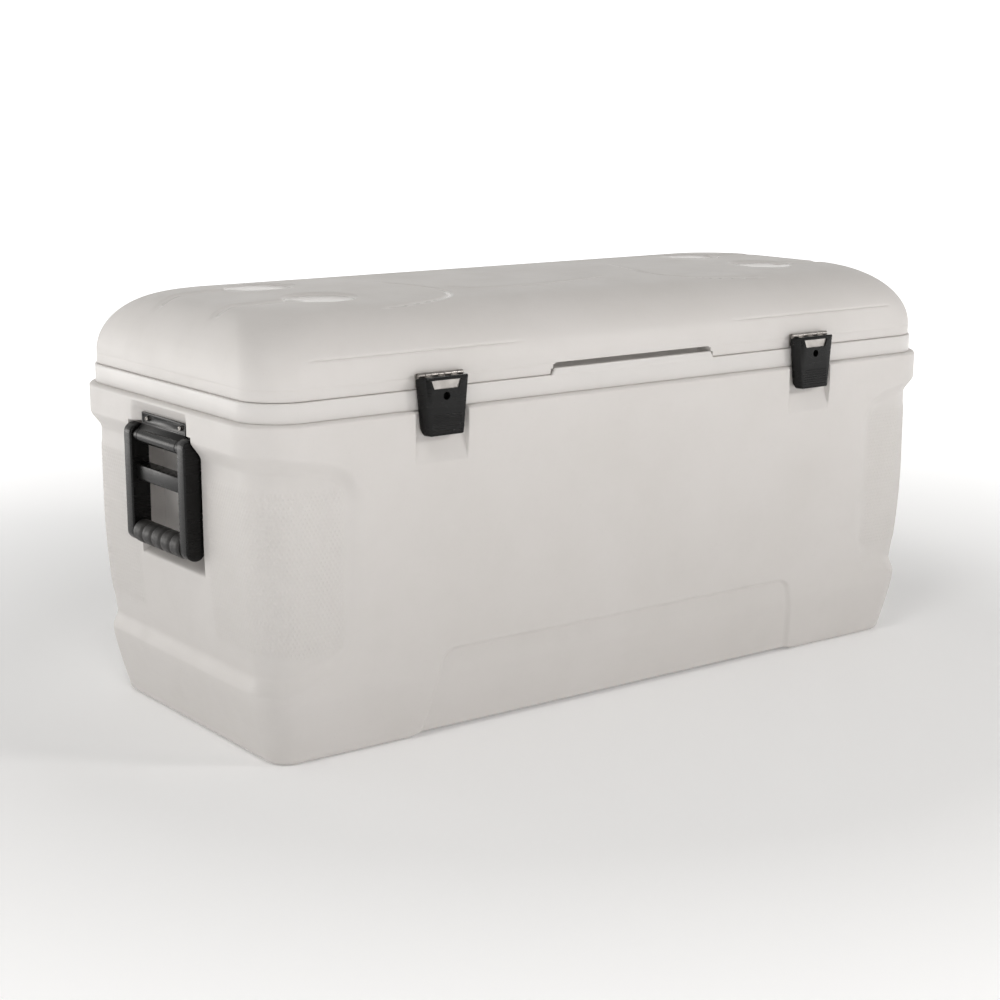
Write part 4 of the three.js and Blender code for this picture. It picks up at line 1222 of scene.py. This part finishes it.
def drain():
    """Spout through the wall with its washer and nut, and the cap with its seal."""
    seat, neck, flange = 503.8, 11, 18
    finish_part(lathe("spout", [
        (9, 463.5), (10.6, 463.5), (neck, 463.9), (neck, seat), (flange - 0.4, seat), (flange, seat + 0.4),
        (flange, seat + 2.1), (flange - 0.4, seat + 2.5), (neck, seat + 2.5), (neck, 520.1),
        (10.6, 520.5), (9, 520.5),
    ], "x", 0, DRAIN_Z), "drain_spout")
    finish_part(lathe("washer", [
        (11.5, 502.3), (16.7, 502.3), (17, 502.6), (17, 503.2), (16.7, 503.5), (11.5, 503.5),
    ], "x", 0, DRAIN_Z), "drain_washer")
    corners = [(14 * math.cos(a), DRAIN_Z + 14 * math.sin(a)) for a in np.arange(6) * math.pi / 3]
    nut = prism("x", corners, 464.5, 471.8)
    cut(nut, rod("x", 11.5, 460, 480, 0, DRAIN_Z))
    finish_part(bevel(nut, 0.6), "drain_nut")
    finish_part(lathe("seal", [
        (7, 520.8), (10.4, 520.8), (10.8, 521.2), (10.8, 522.0), (10.4, 522.4), (7, 522.4),
    ], "x", 0, DRAIN_Z), "drain_seal")
    cap = lathe("cap", [
        (0, 522.7), (11.6, 522.7), (11.6, 506.8), (15.6, 506.8), (16, 507.3), (16, 523.2), (15.5, 524.2),
        (14.5, 525.0), (13.2, 525.2), (12.4, 524.4), (0, 524.4),
    ], "x", 0, DRAIN_Z, 60)
    flutes = [rod("x", 1.5, 509, 527, 16.6 * math.cos(a), DRAIN_Z + 16.6 * math.sin(a), 16)
              for a in np.arange(12) * math.pi / 6 + 0.2]
    finish_part(cut(cap, *flutes), "drain_cap")


drain()

# ---- CAD nodes that stay on show ----

for node in ("body_foam", "lid_foam"):
    kept = frame["nodes"][node]
    kept.data.materials.clear()
    kept.data.materials.append(FINISHES["insulating_foam"].material)

# ---- floor, light ----

floor_data = bpy.data.meshes.new("floor")
work = bmesh.new()
bmesh.ops.create_grid(work, x_segments=1, y_segments=1, size=30)
work.to_mesh(floor_data)
work.free()
floor = bpy.data.objects.new("floor", floor_data)
bpy.context.scene.collection.objects.link(floor)
ground = Finish("ground")
ground.set("Base Color", (0.9, 0.9, 0.9, 1))
ground.set("Roughness", 0.9)
# The floor fades to white away from the object: it glows, painted light whose emission grows with distance
# from the middle.
reach = ground.node("ShaderNodeVectorMath", operation="LENGTH")
ground.link(ground.place, reach.inputs[0])
ground.set("Emission Color", (1, 1, 1, 1))
ground.set("Emission Strength", ground.band(reach.outputs["Value"], 0.7, 2.6, 0.12, 1.0))
floor.data.materials.append(ground.material)

# The sky is bright behind the object, dim in front of it and weaker overhead.
world = bpy.data.worlds.new("studio")
bpy.context.scene.world = world
world.use_nodes = True
sky = Nodes(world.node_tree)
background = sky.tree.nodes["Background"]
direction = sky.node("ShaderNodeSeparateXYZ")
sky.link(sky.node("ShaderNodeTexCoord").outputs["Generated"], direction.inputs["Vector"])
behind = sky.band(direction.outputs["Y"], -0.75, 0.35)
tone = sky.blend(behind, (0.17, 0.17, 0.172), (1.15, 1.14, 1.12))
sky.link(tone, background.inputs["Color"])
sky.link(sky.band(direction.outputs["Z"], 0.1, 0.8, 1.0, 0.34), background.inputs["Strength"])
bpy.context.scene.view_settings.view_transform = "Standard"


def area_light(name, place, aim, size, power, tint):
    """Soft light at a place, turned towards aim; metres and watts."""
    data = bpy.data.lights.new(name, "AREA")
    data.shape = "RECTANGLE"
    data.size, data.size_y = size
    data.energy = power
    data.color = tint
    lamp = bpy.data.objects.new(name, data)
    lamp.location = place
    lamp.rotation_euler = (Vector(aim) - Vector(place)).to_track_quat("-Z", "Y").to_euler()
    bpy.context.scene.collection.objects.link(lamp)


NEUTRAL, WARM, WARMER = (1.0, 0.985, 0.965), (1.0, 0.975, 0.955), (1.0, 0.97, 0.94)
area_light("overhead", (-1.3, -1.0, 2.6), (-0.1, 0, 0.2), (0.8, 0.7), 14, NEUTRAL)
area_light("key", (2.4, -3.2, 1.9), (0.1, 0, 0.25), (0.7, 0.6), 44, WARM)
area_light("front", (-1.5, -4.0, 1.2), (0, 0, 0.25), (1.1, 0.8), 19, WARM)
area_light("side", (-1.75, 2.3, 0.4), (-0.54, 0, 0.32), (0.8, 0.9), 8, WARMER)
area_light("left", (-3.1, -1.7, 0.75), (-0.52, 0.02, 0.3), (0.6, 0.6), 3, WARMER)
